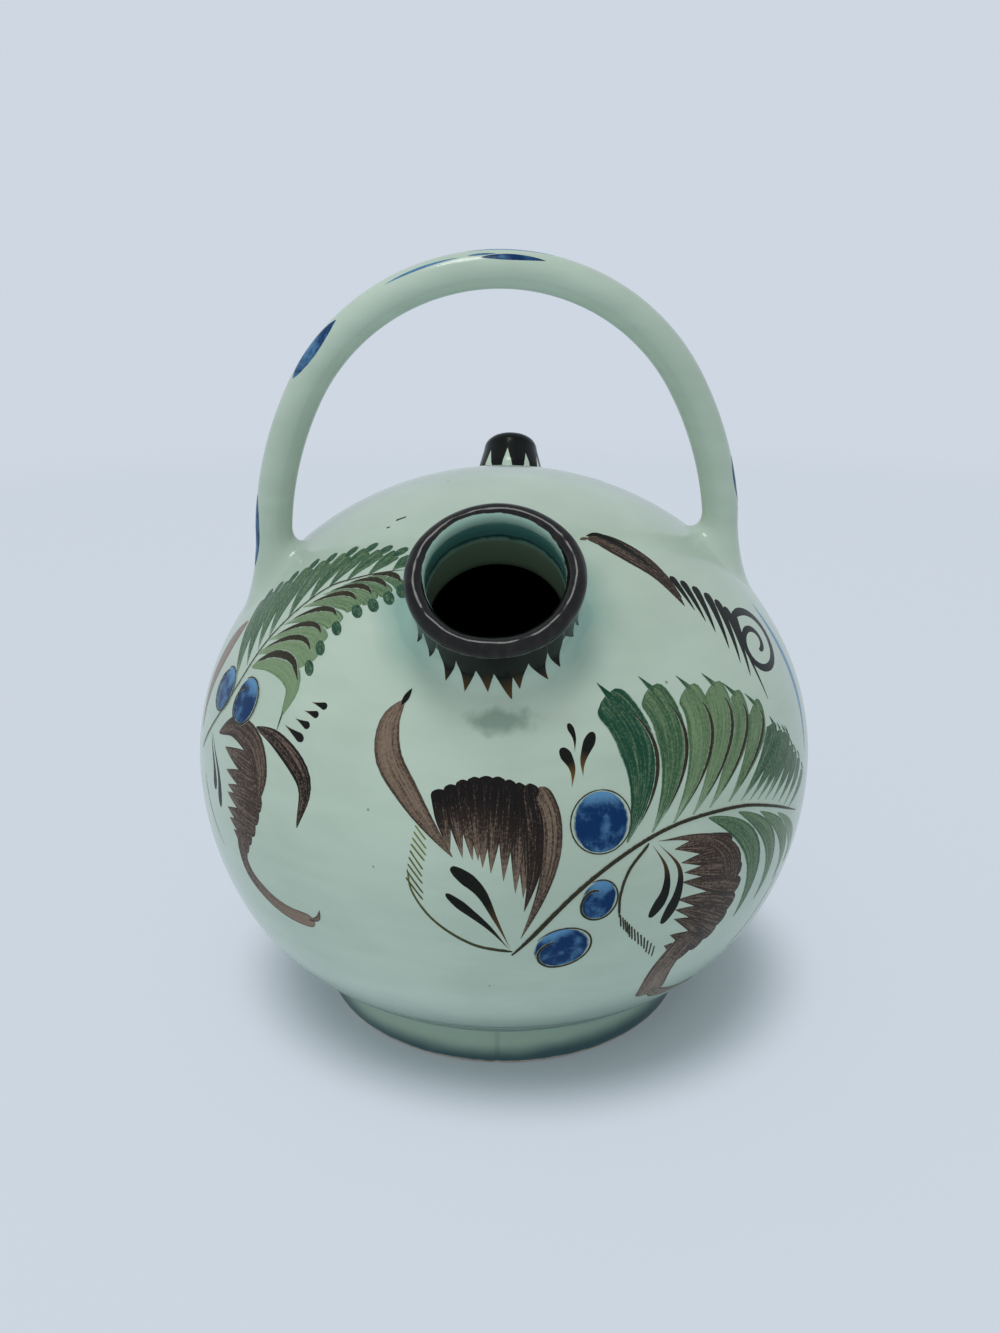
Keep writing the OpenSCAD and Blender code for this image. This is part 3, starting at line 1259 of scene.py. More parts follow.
@dataclass(frozen=True)
class BlackGlaze:
    """The iron black glaze on the mouth and the spout, brown where it is thin."""

    black: Colour = seen(10, 10, 9)
    brown: Colour = seen(38, 31, 26)
    teal: Colour = seen(150, 185, 172)
    gloss: Gloss = Gloss(roughness=0.14, coat=0.0, ior=1.36, ripple=0.0024)

    def colour(self, graph: Graph) -> Socket:
        """Black with cloudy brown."""
        thin = graph.math("MULTIPLY", graph.noise(90.0, 4.0, 0.6), graph.noise(420.0, 2.0))
        return graph.blend(graph.ease(thin, 0.18, 0.48), self.black, self.brown)

    def lip(self, lip: Lip) -> Material:
        """The glaze on the mouth's coil, thin to teal where it runs in to the bore, most at the back.

        Args:
            lip: The coil.

        Returns:
            The material.
        """
        made, graph = material_graph("black_glaze")
        way, _, beside = tube_parts(graph, lip.throat)
        back = graph.vector("DOT_PRODUCT", way, tuple(lip.throat.place.to_3x3() @ Vector((0, 1, 0))))
        right = graph.vector("DOT_PRODUCT", way, (1.0, 0.0, 0.0))
        inner = graph.math("DIVIDE", graph.math("SUBTRACT", lip.middle, beside), lip.thickness / 2)
        bias = graph.math("MULTIPLY_ADD", back, 0.30 / lip.middle,
                          graph.math("MULTIPLY", right, -0.10 / lip.middle))
        edge = graph.ragged(graph.math("ADD", inner, bias), 330.0, 0.24, 3.0)
        colour = graph.blend(graph.ease(edge, 0.93, 0.99), self.colour(graph), self.teal)
        self.gloss.shader(graph, colour, 90.0)
        return made

    def spout(self, spout: Spout, ground: Celadon, reach: float = 0.0075) -> Material:
        """The spout's glaze: black at its tip, celadon below.

        Args:
            spout: The spout.
            ground: The celadon.
            reach: How far the black comes down.

        Returns:
            The material.
        """
        made, graph = material_graph("spout_glaze")
        _, along, _ = tube_parts(graph, spout)
        start = spout.top_h - reach
        share = graph.ease(graph.ragged(along, 260.0, 0.0012), start, start + 0.0007)
        colour = graph.blend(share, ground.colour(graph), self.colour(graph))
        self.gloss.shader(graph, colour)
        return made


class Pigment(Enum):
    """The painter's colours."""

    GREEN = "leaf_green"
    BROWN = "leaf_brown"
    BLUE = "berry_blue"
    LINE = "dark_line"
    BLACK = "iron_black"


@dataclass(frozen=True)
class Paint:
    """How one pigment lies under the glaze."""

    deep: Colour
    thin: Colour
    other: Colour
    streak: float
    grain: float
    softness: float
    blotch: float = 0.0
    rim: float = 0.18

    def material(self, pigment: Pigment, ground: Celadon) -> Material:
        """The pigment over the shared ground, streaked along each stroke.

        Args:
            pigment: Which pigment this is.
            ground: The celadon below it.

        Returns:
            The material, which reads the strokes' own attributes.
        """
        made, graph = material_graph("paint_" + pigment.value)
        along, across, hue = (self._number(graph, name) for name in ("along", "across", "hue"))
        look = graph.node("ShaderNodeAttribute", attribute_name="look")
        load, tone, seed = graph.split(look.outputs["Vector"])
        streaks = self._streaks(graph, along, across, seed)
        pooled = graph.ease(graph.math("ABSOLUTE", across), 0.6, 0.95, 0.0, self.rim)
        depth = graph.math("MULTIPLY_ADD", self._strength(graph, streaks), tone, pooled)
        deep = graph.blend(hue, self.deep, self.other)
        colour = graph.blend(graph.ease(depth, 0.05, 0.95), self.thin, deep)
        cover = self._cover(graph, across, load, streaks)
        colour = graph.blend(cover, ground.colour(graph), colour)
        Gloss(coat=0.0, ior=1.22).shader(graph, colour)
        return made

    def _streaks(self, graph: Graph, along: Socket, across: Socket, seed: Socket) -> Socket:
        """The marks of the brush's hairs, long and narrow.

        Args:
            graph: The tree.
            along: The share along the stroke.
            across: The share across it, from -1 to 1.
            seed: The stroke's own number.

        Returns:
            The marks, from 0 to 1.
        """
        parts = ((along, 1.4), (across, 4.5), (seed, 31.0))
        hairs = graph.node("ShaderNodeCombineXYZ", {
            k: graph.math("MULTIPLY", part, scale) for k, (part, scale) in enumerate(parts)})
        return graph.ease(graph.noise(1.6, 3.0, 0.6, hairs.outputs[0]), 0.3, 0.7)

    def _strength(self, graph: Graph, streaks: Socket) -> Socket:
        """How thick the paint lies.

        Args:
            graph: The tree.
            streaks: The marks of the brush's hairs.

        Returns:
            The thickness, from 0 to 1.
        """
        grains = graph.ease(graph.noise(1300.0, 2.0, 0.7), 0.3, 0.7)
        clouds = graph.ease(graph.noise(190.0, 2.0, 0.55), 0.28, 0.7)
        thick = graph.math("MULTIPLY_ADD", streaks, self.streak, 1.0 - self.streak)
        for marks, share in ((grains, self.grain), (clouds, self.blotch)):
            thick = graph.math("MULTIPLY", thick, graph.math("MULTIPLY_ADD", marks, share, 1.0 - share))
        return thick

    def _cover(self, graph: Graph, across: Socket, load: Socket, streaks: Socket) -> Socket:
        """How far the paint hides the ground, which shows at soft edges and between dry hairs.

        Args:
            graph: The tree.
            across: The share across the stroke, from -1 to 1.
            load: How full the brush is.
            streaks: The marks of its hairs.

        Returns:
            The share of paint.
        """
        rough = graph.ragged(graph.math("ABSOLUTE", across), 800.0, self.softness)
        edge = graph.ease(rough, 0.96 - self.softness * 0.4, 0.98 + self.softness * 0.4, 1.0, 0.0)
        dry = graph.math("SUBTRACT", 1.0, load)
        wet = graph.math("MULTIPLY_ADD", graph.math("MULTIPLY_ADD", streaks, 2.0, -1.0), dry, load)
        return graph.math("MULTIPLY", edge if self.softness else 1.0, graph.ease(wet, 0.1, 0.55))

    def _number(self, graph: Graph, name: str) -> Socket:
        """A number that each stroke's mesh holds."""
        return graph.node("ShaderNodeAttribute", attribute_name=name).outputs["Fac"]


PAINTS = {
    Pigment.GREEN: Paint(seen(58, 94, 62), seen(134, 158, 122), seen(16, 68, 52), 0.45, 0.3, 0.1),
    Pigment.BROWN: Paint(seen(56, 44, 38), seen(140, 122, 106), seen(24, 20, 19), 0.6, 0.45, 0.04, rim=0.3),
    Pigment.BLUE: Paint(seen(0, 48, 96), seen(92, 144, 186), seen(14, 68, 124), 0.1, 0.2, 0.12, 0.6),
    Pigment.LINE: Paint(seen(42, 40, 28), seen(92, 86, 62), seen(126, 132, 62), 0.2, 0.3, 0.4),
    Pigment.BLACK: Paint(seen(12, 15, 12), seen(38, 42, 34), seen(116, 88, 44), 0.3, 0.25, 0.1),
}


# Brush strokes

@dataclass(frozen=True)
class Stroke:
    """One stroke of the brush: its line, with half width, load, tone and hue along it, and its layer."""

    line: np.ndarray
    half: np.ndarray
    load: np.ndarray
    tone: np.ndarray
    hue: np.ndarray
    layer: int = 0


class StrokeTree:
    """The node tree that lays closed, lens-thin strokes on a surface along their lines."""

    SIDE_POWER = 16.0
    END_POWER = 24.0

    def __init__(self) -> None:
        """Builds the tree."""
        self.tree = bpy.data.node_groups.new("brush_strokes", "GeometryNodeTree")
        self.tree.is_modifier = True
        self.graph = Graph(self.tree)
        self.ids: dict[str, str] = {}
        self._sockets()
        self._wire()

    def _sockets(self) -> None:
        """Names the tree's inputs and its output."""
        kinds = (("Lines", "Geometry"), ("Surface", "Object"), ("Along", "Int"), ("Across", "Int"),
                 ("Film", "Float"), ("Layer Step", "Float"), ("Sink", "Float"), ("Paint", "Material"))
        for name, kind in kinds:
            made = self.tree.interface.new_socket(name, in_out="INPUT", socket_type="NodeSocket" + kind)
            self.ids[name] = made.identifier
        self.tree.interface.new_socket("Strokes", in_out="OUTPUT", socket_type="NodeSocketGeometry")

    def _named(self, name: str, kind: str) -> Socket:
        """A named attribute as a field."""
        return self.graph.node("GeometryNodeInputNamedAttribute", {"Name": name}, data_type=kind).outputs[0]

    def _store(self, geometry: Socket, name: str, kind: str, value: object) -> Socket:
        """Keeps a field or a plain value on the points under a name.

        Args:
            geometry: The points.
            name: The attribute's name.
            kind: Its type.
            value: The field or the value.

        Returns:
            The points with it.
        """
        given = {"Geometry": geometry, "Name": name, "Value": value}
        made = self.graph.node("GeometryNodeStoreNamedAttribute", given, data_type=kind, domain="POINT")
        return made.outputs[0]

    def _sheet(self, given: Node) -> Socket:
        """A unit grid twice, face up and face down, closest at its rim.

        Args:
            given: The tree's inputs.

        Returns:
            The sheet, which holds its along, across and side.
        """
        graph = self.graph
        grid = graph.node("GeometryNodeMeshGrid", {
            "Size X": 1.0, "Size Y": 2.0, "Vertices X": given.outputs["Along"],
            "Vertices Y": given.outputs["Across"]})
        x, y, _ = graph.split(graph.node("GeometryNodeInputPosition").outputs[0])
        swing = graph.math("SINE", graph.math("MULTIPLY", x, math.pi))
        lean = graph.math("SINE", graph.math("MULTIPLY", y, math.pi / 2))
        along = graph.math("MULTIPLY_ADD", swing, 0.5, 0.5)
        sheet = self._store(grid.outputs["Mesh"], "along", "FLOAT", along)
        sheet = self._store(sheet, "across", "FLOAT", lean)
        low = graph.node("GeometryNodeFlipFaces", {0: self._store(sheet, "side", "FLOAT", 0.0)})
        both = graph.node("GeometryNodeJoinGeometry", {0: self._store(sheet, "side", "FLOAT", 1.0)})
        graph.feed(both.inputs[0], low.outputs[0])
        return both.outputs[0]

    def _sample(self, curves: Socket, name: str) -> Node:
        """Reads the lines' own vector at each sheet point's share along its line.

        Args:
            curves: The lines.
            name: The vector's name.

        Returns:
            The node that reads it.
        """
        given = {"Curves": curves, "Value": self._named(name, "FLOAT_VECTOR"),
                 "Factor": self._named("along", "FLOAT"), "Curve Index": self._named("stroke", "INT")}
        return self.graph.node("GeometryNodeSampleCurve", given, data_type="FLOAT_VECTOR", mode="FACTOR",
                               use_all_curves=False)

    def _normal_at(self, surface: Socket, place: Socket) -> Socket:
        """The surface's normal nearest to a place.

        Args:
            surface: The surface's mesh.
            place: The place.

        Returns:
            The normal.
        """
        given = {"Mesh": surface, "Value": self.graph.node("GeometryNodeInputNormal").outputs[0],
                 "Sample Position": place}
        return self.graph.node("GeometryNodeSampleNearestSurface", given, data_type="FLOAT_VECTOR").outputs[0]

    def _wire(self) -> None:
        """Lays one sheet on each line and presses it on to the surface."""
        graph = self.graph
        given = graph.node("NodeGroupInput")
        curves = graph.node("GeometryNodeMeshToCurve", {"Mesh": given.outputs["Lines"]}).outputs[0]
        surface = graph.node("GeometryNodeObjectInfo", {"Object": given.outputs["Surface"]},
                             transform_space="RELATIVE")
        size = graph.node("GeometryNodeAttributeDomainSize", {0: curves}, component="CURVE")
        seeds = graph.node("GeometryNodePoints", {"Count": size.outputs["Spline Count"]}).outputs[0]
        index = graph.node("GeometryNodeInputIndex").outputs[0]
        spread = graph.node("GeometryNodeInstanceOnPoints", {
            "Points": self._store(seeds, "stroke", "INT", index), "Instance": self._sheet(given)})
        real = graph.node("GeometryNodeRealizeInstances", {0: spread.outputs[0]})
        shape, look = self._sample(curves, "shape"), self._sample(curves, "look")
        sheets = self._store(real.outputs[0], "look", "FLOAT_VECTOR", look.outputs["Value"])
        placed = self._press(sheets, surface.outputs["Geometry"], shape, given)
        weld = graph.node("GeometryNodeMergeByDistance", {"Geometry": placed, "Distance": TINY})
        smooth = graph.node("GeometryNodeSetShadeSmooth", {0: weld.outputs[0]})
        dressed = graph.node("GeometryNodeSetMaterial", {
            "Geometry": smooth.outputs[0], "Material": given.outputs["Paint"]})
        graph.end("NodeGroupOutput", dressed.outputs[0])

    def _press(self, sheets: Socket, ground: Socket, shape: Node, given: Node) -> Socket:
        """Spreads each sheet to its stroke's width and lays it on the surface, its rim sunk below.

        Args:
            sheets: The realized sheets.
            ground: The surface's mesh.
            shape: The sampled half width, layer and hue, with the line's place and direction.
            given: The tree's inputs.

        Returns:
            The placed strokes.
        """
        graph, sink = self.graph, given.outputs["Sink"]
        half, layer, hue = graph.split(shape.outputs["Value"])
        along, across, side = (self._named(name, "FLOAT") for name in ("along", "across", "side"))
        up = self._normal_at(ground, shape.outputs["Position"])
        sideways = graph.vector("NORMALIZE", graph.vector("CROSS_PRODUCT", up, shape.outputs["Tangent"]))
        push = graph.scaled(sideways, graph.math("MULTIPLY", across, half))
        flat = graph.vector("ADD", shape.outputs["Position"], push)
        touch = graph.node("GeometryNodeProximity", {0: ground, "Sample Position": flat},
                           target_element="FACES")
        normal = self._normal_at(ground, flat)
        ends = graph.math("MULTIPLY_ADD", along, 2.0, -1.0)
        inner = graph.math("MULTIPLY", self._inside(across, self.SIDE_POWER),
                           self._inside(ends, self.END_POWER))
        film = graph.math("MULTIPLY_ADD", layer, given.outputs["Layer Step"], given.outputs["Film"])
        rise = graph.math("MULTIPLY", inner, graph.math("ADD", film, sink))
        fall = graph.math("MULTIPLY", inner, graph.math("MULTIPLY", sink, -1.0))
        bend = graph.math("ADD", graph.math("MULTIPLY", side, rise),
                          graph.math("MULTIPLY", graph.math("SUBTRACT", 1.0, side), fall))
        lift = graph.scaled(normal, graph.math("SUBTRACT", bend, sink))
        kept = self._store(sheets, "hue", "FLOAT", hue)
        kept = self._store(kept, "ground_normal", "FLOAT_VECTOR", normal)
        place = graph.vector("ADD", touch.outputs["Position"], lift)
        return graph.node("GeometryNodeSetPosition", {"Geometry": kept, "Position": place}).outputs[0]

    def _inside(self, place: Socket, power: float) -> Socket:
        """1 within a sheet, falling to 0 where a place from -1 to 1 nears its ends."""
        away = self.graph.math("POWER", self.graph.math("ABSOLUTE", place), power)
        return self.graph.math("SUBTRACT", 1.0, away)


@dataclass
class Brushwork:
    """Strokes of one pigment on one surface."""

    tree: StrokeTree
    film: float = 0.00005
    layer_step: float = 0.00002
    sink: float = 0.00003

    def paint(self, name: str, strokes: Sequence[Stroke], surface: Form, paint: Material,
              points: tuple[int, int] = GRID) -> Form:
        """Lays strokes on a surface as one piece.

        Args:
            name: The piece's name.
            strokes: The strokes.
            surface: The glazed form that carries them.
            paint: Their material.
            points: How many points a stroke has along and across.

        Returns:
            The painted piece, a plain mesh.
        """
        piece = new_object(name, self._lines(name, strokes))
        made = piece.modifiers.new("strokes", "NODES")
        made.node_group = self.tree.tree
        values = {"Surface": surface, "Along": points[0], "Across": points[1], "Film": self.film,
                  "Layer Step": self.layer_step, "Sink": self.sink, "Paint": paint}
        for key, value in values.items():
            made[self.tree.ids[key]] = value
        settle(piece)
        self._take_normals(piece.data)
        return piece

    def _lines(self, name: str, strokes: Sequence[Stroke]) -> Mesh:
        """The strokes' lines as loose edges that hold their shape and look.

        Args:
            name: The mesh's name.
            strokes: The strokes.

        Returns:
            The mesh of edges.
        """
        points, edges, shape, look = [], [], [], []
        for number, stroke in enumerate(strokes):
            first = len(points)
            points += [tuple(p) for p in stroke.line]
            edges += [(first + k, first + k + 1) for k in range(len(stroke.line) - 1)]
            seed = (number * GOLDEN) % 1.0
            shape += [(half, stroke.layer, hue) for half, hue in zip(stroke.half, stroke.hue)]
            look += [(load, tone, seed) for load, tone in zip(stroke.load, stroke.tone)]
        mesh = bpy.data.meshes.new(name)
        mesh.from_pydata(points, edges, [])
        for key, values in (("shape", shape), ("look", look)):
            kept = mesh.attributes.new(key, "FLOAT_VECTOR", "POINT")
            kept.data.foreach_set("vector", np.array(values, np.float32).ravel())
        return mesh

    def _take_normals(self, mesh: Mesh) -> None:
        """Shades the film as the glaze below it, so that its rim doesn't show in the gloss.

        Args:
            mesh: The painted piece's mesh.
        """
        normals = np.zeros(len(mesh.vertices) * 3, np.float32)
        mesh.attributes["ground_normal"].data.foreach_get("vector", normals)
        mesh.normals_split_custom_set_from_vertices(normals.reshape(-1, 3).tolist())
        for key in ("ground_normal", "side", "stroke"):
            mesh.attributes.remove(mesh.attributes[key])


def spline(points: Sequence[np.ndarray], count: int = 20) -> np.ndarray:
    """A smooth line through points.

    Args:
        points: Two or more points.
        count: How many points the line has.

    Returns:
        The line's points, evenly spread over the spans.
    """
    knots = np.array([2 * points[0] - points[1], *points, 2 * points[-1] - points[-2]])
    line = []
    for place in np.linspace(0, len(points) - 1, count):
        span = min(int(place), len(points) - 2)
        t = place - span
        a, b, c, d = knots[span:span + 4]
        line.append(0.5 * (2 * b + (c - a) * t + (2 * a - 5 * b + 4 * c - d) * t ** 2
                           + (3 * b - a - 3 * c + d) * t ** 3))
    return np.array(line)


# Painted motifs

def blunt(t: np.ndarray, length: float) -> np.ndarray:
    """A round end: shares that rise from 0 to 1 over a length, as a quarter of a circle does."""
    return np.sqrt(1 - (1 - np.clip(t / length, 0, 1)) ** 2)


class Touch(Enum):
    """How the brush is pressed along a stroke."""

    LEAFLET = "from a fine base to a broad blade"
    TOOTH = "blunt, full and then drawn to a point"
    TAIL = "from a blunt head to a long fine tail"
    COMMA = "from a fine tail to a round head"
    SWOOSH = "fine at both ends"
    BAND = "full, with blunt ends"
    DOT = "round"
    LINE = "even"

    def widths(self, t: np.ndarray) -> np.ndarray:
        """How wide a stroke is along its line.

        Args:
            t: Shares of the stroke's length.

        Returns:
            Half widths, as shares of the widest.
        """
        if self is Touch.LEAFLET:
            return np.clip(t / 0.55, 0.04, 1) ** 0.85 * blunt(1 - t, 0.09)
        if self is Touch.TOOTH:
            return blunt(t, 0.1) * (1 - np.clip((t - 0.42) / 0.58, 0, 1) ** 1.3)
        if self is Touch.TAIL:
            return blunt(t, 0.14) * (1 - t) ** 0.75
        if self is Touch.COMMA:
            return np.clip(t / 0.8, 0.03, 1) ** 1.3 * blunt(1 - t, 0.24)
        if self is Touch.SWOOSH:
            return np.clip(np.sin(np.pi * t ** 0.9), 0, 1) ** 0.85
        if self is Touch.DOT:
            return np.sqrt(np.clip(1 - (2 * t - 1) ** 2, 0, 1))
        if self is Touch.BAND:
            return blunt(t, 0.12) * blunt(1 - t, 0.08)
        return np.minimum(1, np.minimum(0.4 + 9 * t, 0.3 + 7 * (1 - t)))

    def loads(self, t: np.ndarray) -> np.ndarray:
        """How much paint the brush leaves along a stroke.

        Args:
            t: Shares of the stroke's length.

        Returns:
            Loads from 0 to 1.
        """
        if self is Touch.LEAFLET:
            return 0.42 + 0.58 * np.clip(t / 0.35, 0, 1)
        if self is Touch.COMMA:
            return 0.65 + 0.35 * np.clip(t / 0.4, 0, 1)
        return np.ones_like(t)


def brushed(line: np.ndarray, touch: Touch, half: Pair, tone: Pair = (1.0, 1.0), hue: Pair = (0.0, 0.0),
            load: float = 1.0, layer: int = 0) -> Stroke:
    """A stroke along a line.

    Args:
        line: The line's points.
        touch: How the brush is pressed.
        half: Half widths at the start and the end, in millimetres.
        tone: How deep the colour is at the start and the end.
        hue: How far the colour goes over to the pigment's other colour at the start and the end.
        load: How full the brush is.
        layer: The layer that the stroke lies in.

    Returns:
        The stroke.
    """
    t = np.linspace(0, 1, len(line))
    widths = touch.widths(t) * (half[0] + (half[1] - half[0]) * t) * MM
    return Stroke(line, widths, touch.loads(t) * load, tone[0] + (tone[1] - tone[0]) * t,
                  hue[0] + (hue[1] - hue[0]) * t, layer)


@dataclass(frozen=True)
class Site:
    """A place on the globe to paint at; its offset turns a whole group of motifs round the globe."""

    PLACE_POINTS = 12
    BOW_POINTS = 36

    globe: Globe
    offset: float = 0.0

    def spot(self, place: Sequence[float]) -> np.ndarray:
        """The globe's point at a bearing and a height."""
        return self.globe.spot(place[0] + self.offset, place[1])

    def axes(self, place: Sequence[float]) -> tuple[np.ndarray, np.ndarray]:
        """Directions along the globe to the right and upwards at a place.

        Args:
            place: Its bearing and height.

        Returns:
            Both directions, of length 1.
        """
        turn = math.radians(place[0] + self.offset)
        east = np.array((math.cos(turn), math.sin(turn), 0.0))
        rise = self.spot((place[0], place[1] + 0.5)) - self.spot((place[0], place[1] - 0.5))
        return east, rise / np.linalg.norm(rise)

    def beside(self, place: Sequence[float], right: float, up: float) -> np.ndarray:
        """A point so many millimetres to the right of and above a place."""
        east, rise = self.axes(place)
        return self.spot(place) + (east * right + rise * up) * MM

    def path(self, places: Sequence[Sequence[float]]) -> np.ndarray:
        """A smooth line through places."""
        return spline([self.spot(p) for p in places], self.PLACE_POINTS * len(places))

    def bowed(self, start: Sequence[float], end: Sequence[float], bow: Sequence[float]) -> np.ndarray:
        """A single bend between two places.

        Args:
            start: The first place.
            end: The last place.
            bow: How far its middle lies to the right and up, in millimetres.

        Returns:
            The bend's points.
        """
        middle = [(a + b) / 2 for a, b in zip(start, end)]
        pull = self.beside(middle, 2 * bow[0], 2 * bow[1])
        t = np.linspace(0, 1, self.BOW_POINTS)[:, None]
        return (1 - t) ** 2 * self.spot(start) + 2 * t * (1 - t) * pull + t ** 2 * self.spot(end)


Marks = list[tuple[Pigment, Stroke]]


@dataclass(frozen=True)
class Dab:
    """A single stroke through some places."""

    places: tuple[Pair, ...]
    touch: Touch
    pigment: Pigment
    half: Pair
    tone: Pair = (1.0, 1.0)
    hue: Pair = (0.0, 0.0)
    load: float = 1.0
    layer: int = 0

    def strokes(self, site: Site) -> Marks:
        """Draws the stroke.

        Args:
            site: Where on the globe it is painted.

        Returns:
            The stroke with its pigment.
        """
        stroke = brushed(site.path(self.places), self.touch, self.half, self.tone, self.hue, self.load,
                         self.layer)
        return [(self.pigment, stroke)]


@dataclass(frozen=True)
class Row:
    """A row of like strokes between two lines: a frond's leaflets, a leaf's teeth or a hatching."""

    roots: tuple[Pair, ...]
    tips: tuple[Pair, ...]
    count: int
    touch: Touch
    pigment: Pigment
    half: Pair
    bow: tuple[Pair, Pair] = ((0.0, 0.0), (0.0, 0.0))
    tones: tuple[float, ...] = (1.0,)
    hues: tuple[float, ...] = (0.0,)
    loads: tuple[float, ...] = (1.0,)
    fade: Pair = (1.0, 1.0)
    drift: Pair = (0.0, 0.0)
    uneven: float = 0.8
    rib: Pair = (0.0, 0.0)
    rib_half: float = 0.9
    flick: Pair = (0.0, 0.0)
    knob: float = 0.0

    def strokes(self, site: Site) -> Marks:
        """The row's strokes with their ribs, flicks and knobs.

        Args:
            site: Where on the globe it is painted.

        Returns:
            The strokes with their pigments.
        """
        roots, tips = (spline(np.array(ends), self.count) for ends in (self.roots, self.tips))
        marks: Marks = []
        for k in range(self.count):
            tip = tips[k] + self.uneven * np.array((0.7 * math.sin(7.3 * k), math.cos(4.1 * k)))
            marks += self._one(site, k, roots[k], tip)
        return marks

    def _one(self, site: Site, k: int, root: np.ndarray, tip: np.ndarray) -> Marks:
        """One stroke of the row with what goes with it.

        Args:
            site: Where on the globe it is painted.
            k: The stroke's number.
            root: The place where it starts.
            tip: The place where it ends.

        Returns:
            The stroke, then its rib, flick and knob.
        """
        share = k / max(1, self.count - 1)
        half = (self.half[0] + (self.half[1] - self.half[0]) * share) * (1 + 0.07 * math.sin(5.1 * k))
        bow = [a + (b - a) * share for a, b in zip(*self.bow)]
        tone, hue, load = (self._along(v, share) for v in (self.tones, self.hues, self.loads))
        layer = k % LAYERS
        over = layer + LAYERS
        blade = brushed(site.bowed(root, tip, bow), self.touch, (half, half),
                        (tone * self.fade[0], tone * self.fade[1]),
                        (hue + self.drift[0], hue + self.drift[1]), load, layer)
        marks = [(self.pigment, blade)]
        if any(self.rib):
            edge = site.bowed(root, tip, [b + r * half for b, r in zip(bow, self.rib)])[3:-6]
            widths = (0.7 * self.rib_half, 1.2 * self.rib_half)
            marks.append((Pigment.LINE, brushed(edge, Touch.SWOOSH, widths, load=load, layer=over)))
        if any(self.flick):
            corner = site.beside(tip, 0.4 * half, -0.15 * half)
            beak = spline([corner, corner + site.beside(tip, *self.flick) - site.spot(tip)], 12)
            widths = (0.22 * half, 0.16 * half)
            flick = brushed(beak, Touch.TAIL, widths, (1.3 * tone, 1.6), (hue, 1.0), load, over)
            marks.append((self.pigment, flick))
        if self.knob:
            way = blade.line[-1] - blade.line[-4]
            way *= 3.2 * self.knob * MM / np.linalg.norm(way)
            end = spline([blade.line[-1] - 0.3 * way, blade.line[-1] + 0.7 * way], 12)
            knob = brushed(end, Touch.DOT, (self.knob, self.knob), (1.1, 1.1), (1.0, 1.0), load, over)
            marks.append((Pigment.GREEN, knob))
        return marks

    def _along(self, values: tuple[float, ...], share: float) -> float:
        """A value between the row's first and last."""
        return float(np.interp(share, np.linspace(0, 1, len(values)), values))


@dataclass(frozen=True)
class Berry:
    """A round dab, blotched deep and pale at its top, and a dark line that winds round it and curls in."""

    CORE_POINTS = 28
    LINE_POINTS = 72
    SWEEP = 390.0
    HOOK_FROM = 0.66

    centre: Pair
    radii: Pair
    turn: float = 0.0
    start: float = 130.0
    hook: float = 0.6
    tone: float = 1.0
    layer: int = 0

    def strokes(self, site: Site) -> Marks:
        """The dab and its line.

        Args:
            site: Where on the globe it is painted.

        Returns:
            Both strokes with their pigments.
        """
        t = np.linspace(0, 1, self.CORE_POINTS)
        core = np.array([self._at(site, 0.0, 2 * s - 1) for s in t])
        half = self.radii[0] * MM * Touch.DOT.widths(t)
        tone = 1.5 - 0.6 * np.clip(1 - t / 0.35, 0, 1) - 1.35 * np.clip((t - 0.66) / 0.28, 0, 1)
        dab = Stroke(core, half, np.ones_like(t), self.tone * tone, np.zeros_like(t), self.layer)
        line = []
        for s in np.linspace(0, 1, self.LINE_POINTS):
            angle = math.radians(self.start - self.SWEEP * s)
            inwards = max(0.0, (s - self.HOOK_FROM) / (1 - self.HOOK_FROM)) ** 1.2
            reach = 1.03 - self.hook * inwards
            line.append(self._at(site, reach * math.cos(angle), reach * math.sin(angle)))
        rim = brushed(np.array(line), Touch.LINE, (0.25, 0.25 + 0.6 * self.hook),
                      layer=self.layer + LAYERS + 1)
        return [(Pigment.BLUE, dab), (Pigment.LINE, rim)]

    def _at(self, site: Site, right: float, up: float) -> np.ndarray:
        """A point by its shares of the radii.

        Args:
            site: Where on the globe it is painted.
            right: The share of the first radius.
            up: The share of the second.

        Returns:
            The point in metres.
        """
        turn = math.radians(self.turn)
        x, y = right * self.radii[0], up * self.radii[1]
        return site.beside(self.centre, x * math.cos(turn) - y * math.sin(turn),
                           x * math.sin(turn) + y * math.cos(turn))


@dataclass(frozen=True)
class Curl:
    """A thick black line that winds inwards."""

    POINTS = 80
    WOUND = 0.85

    centre: Pair
    radii: Pair
    start: float
    sweep: float
    half: Pair

    def strokes(self, site: Site) -> Marks:
        """Winds the line.

        Args:
            site: Where on the globe it is painted.

        Returns:
            The stroke with its pigment.
        """
        line = []
        for s in np.linspace(0, 1, self.POINTS):
            angle = math.radians(self.start + self.sweep * s)
            reach = 1 - self.WOUND * s
            line.append(site.beside(self.centre, self.radii[0] * reach * math.cos(angle),
                                    self.radii[1] * reach * math.sin(angle)))
        return [(Pigment.BLACK, brushed(np.array(line), Touch.LINE, self.half))]


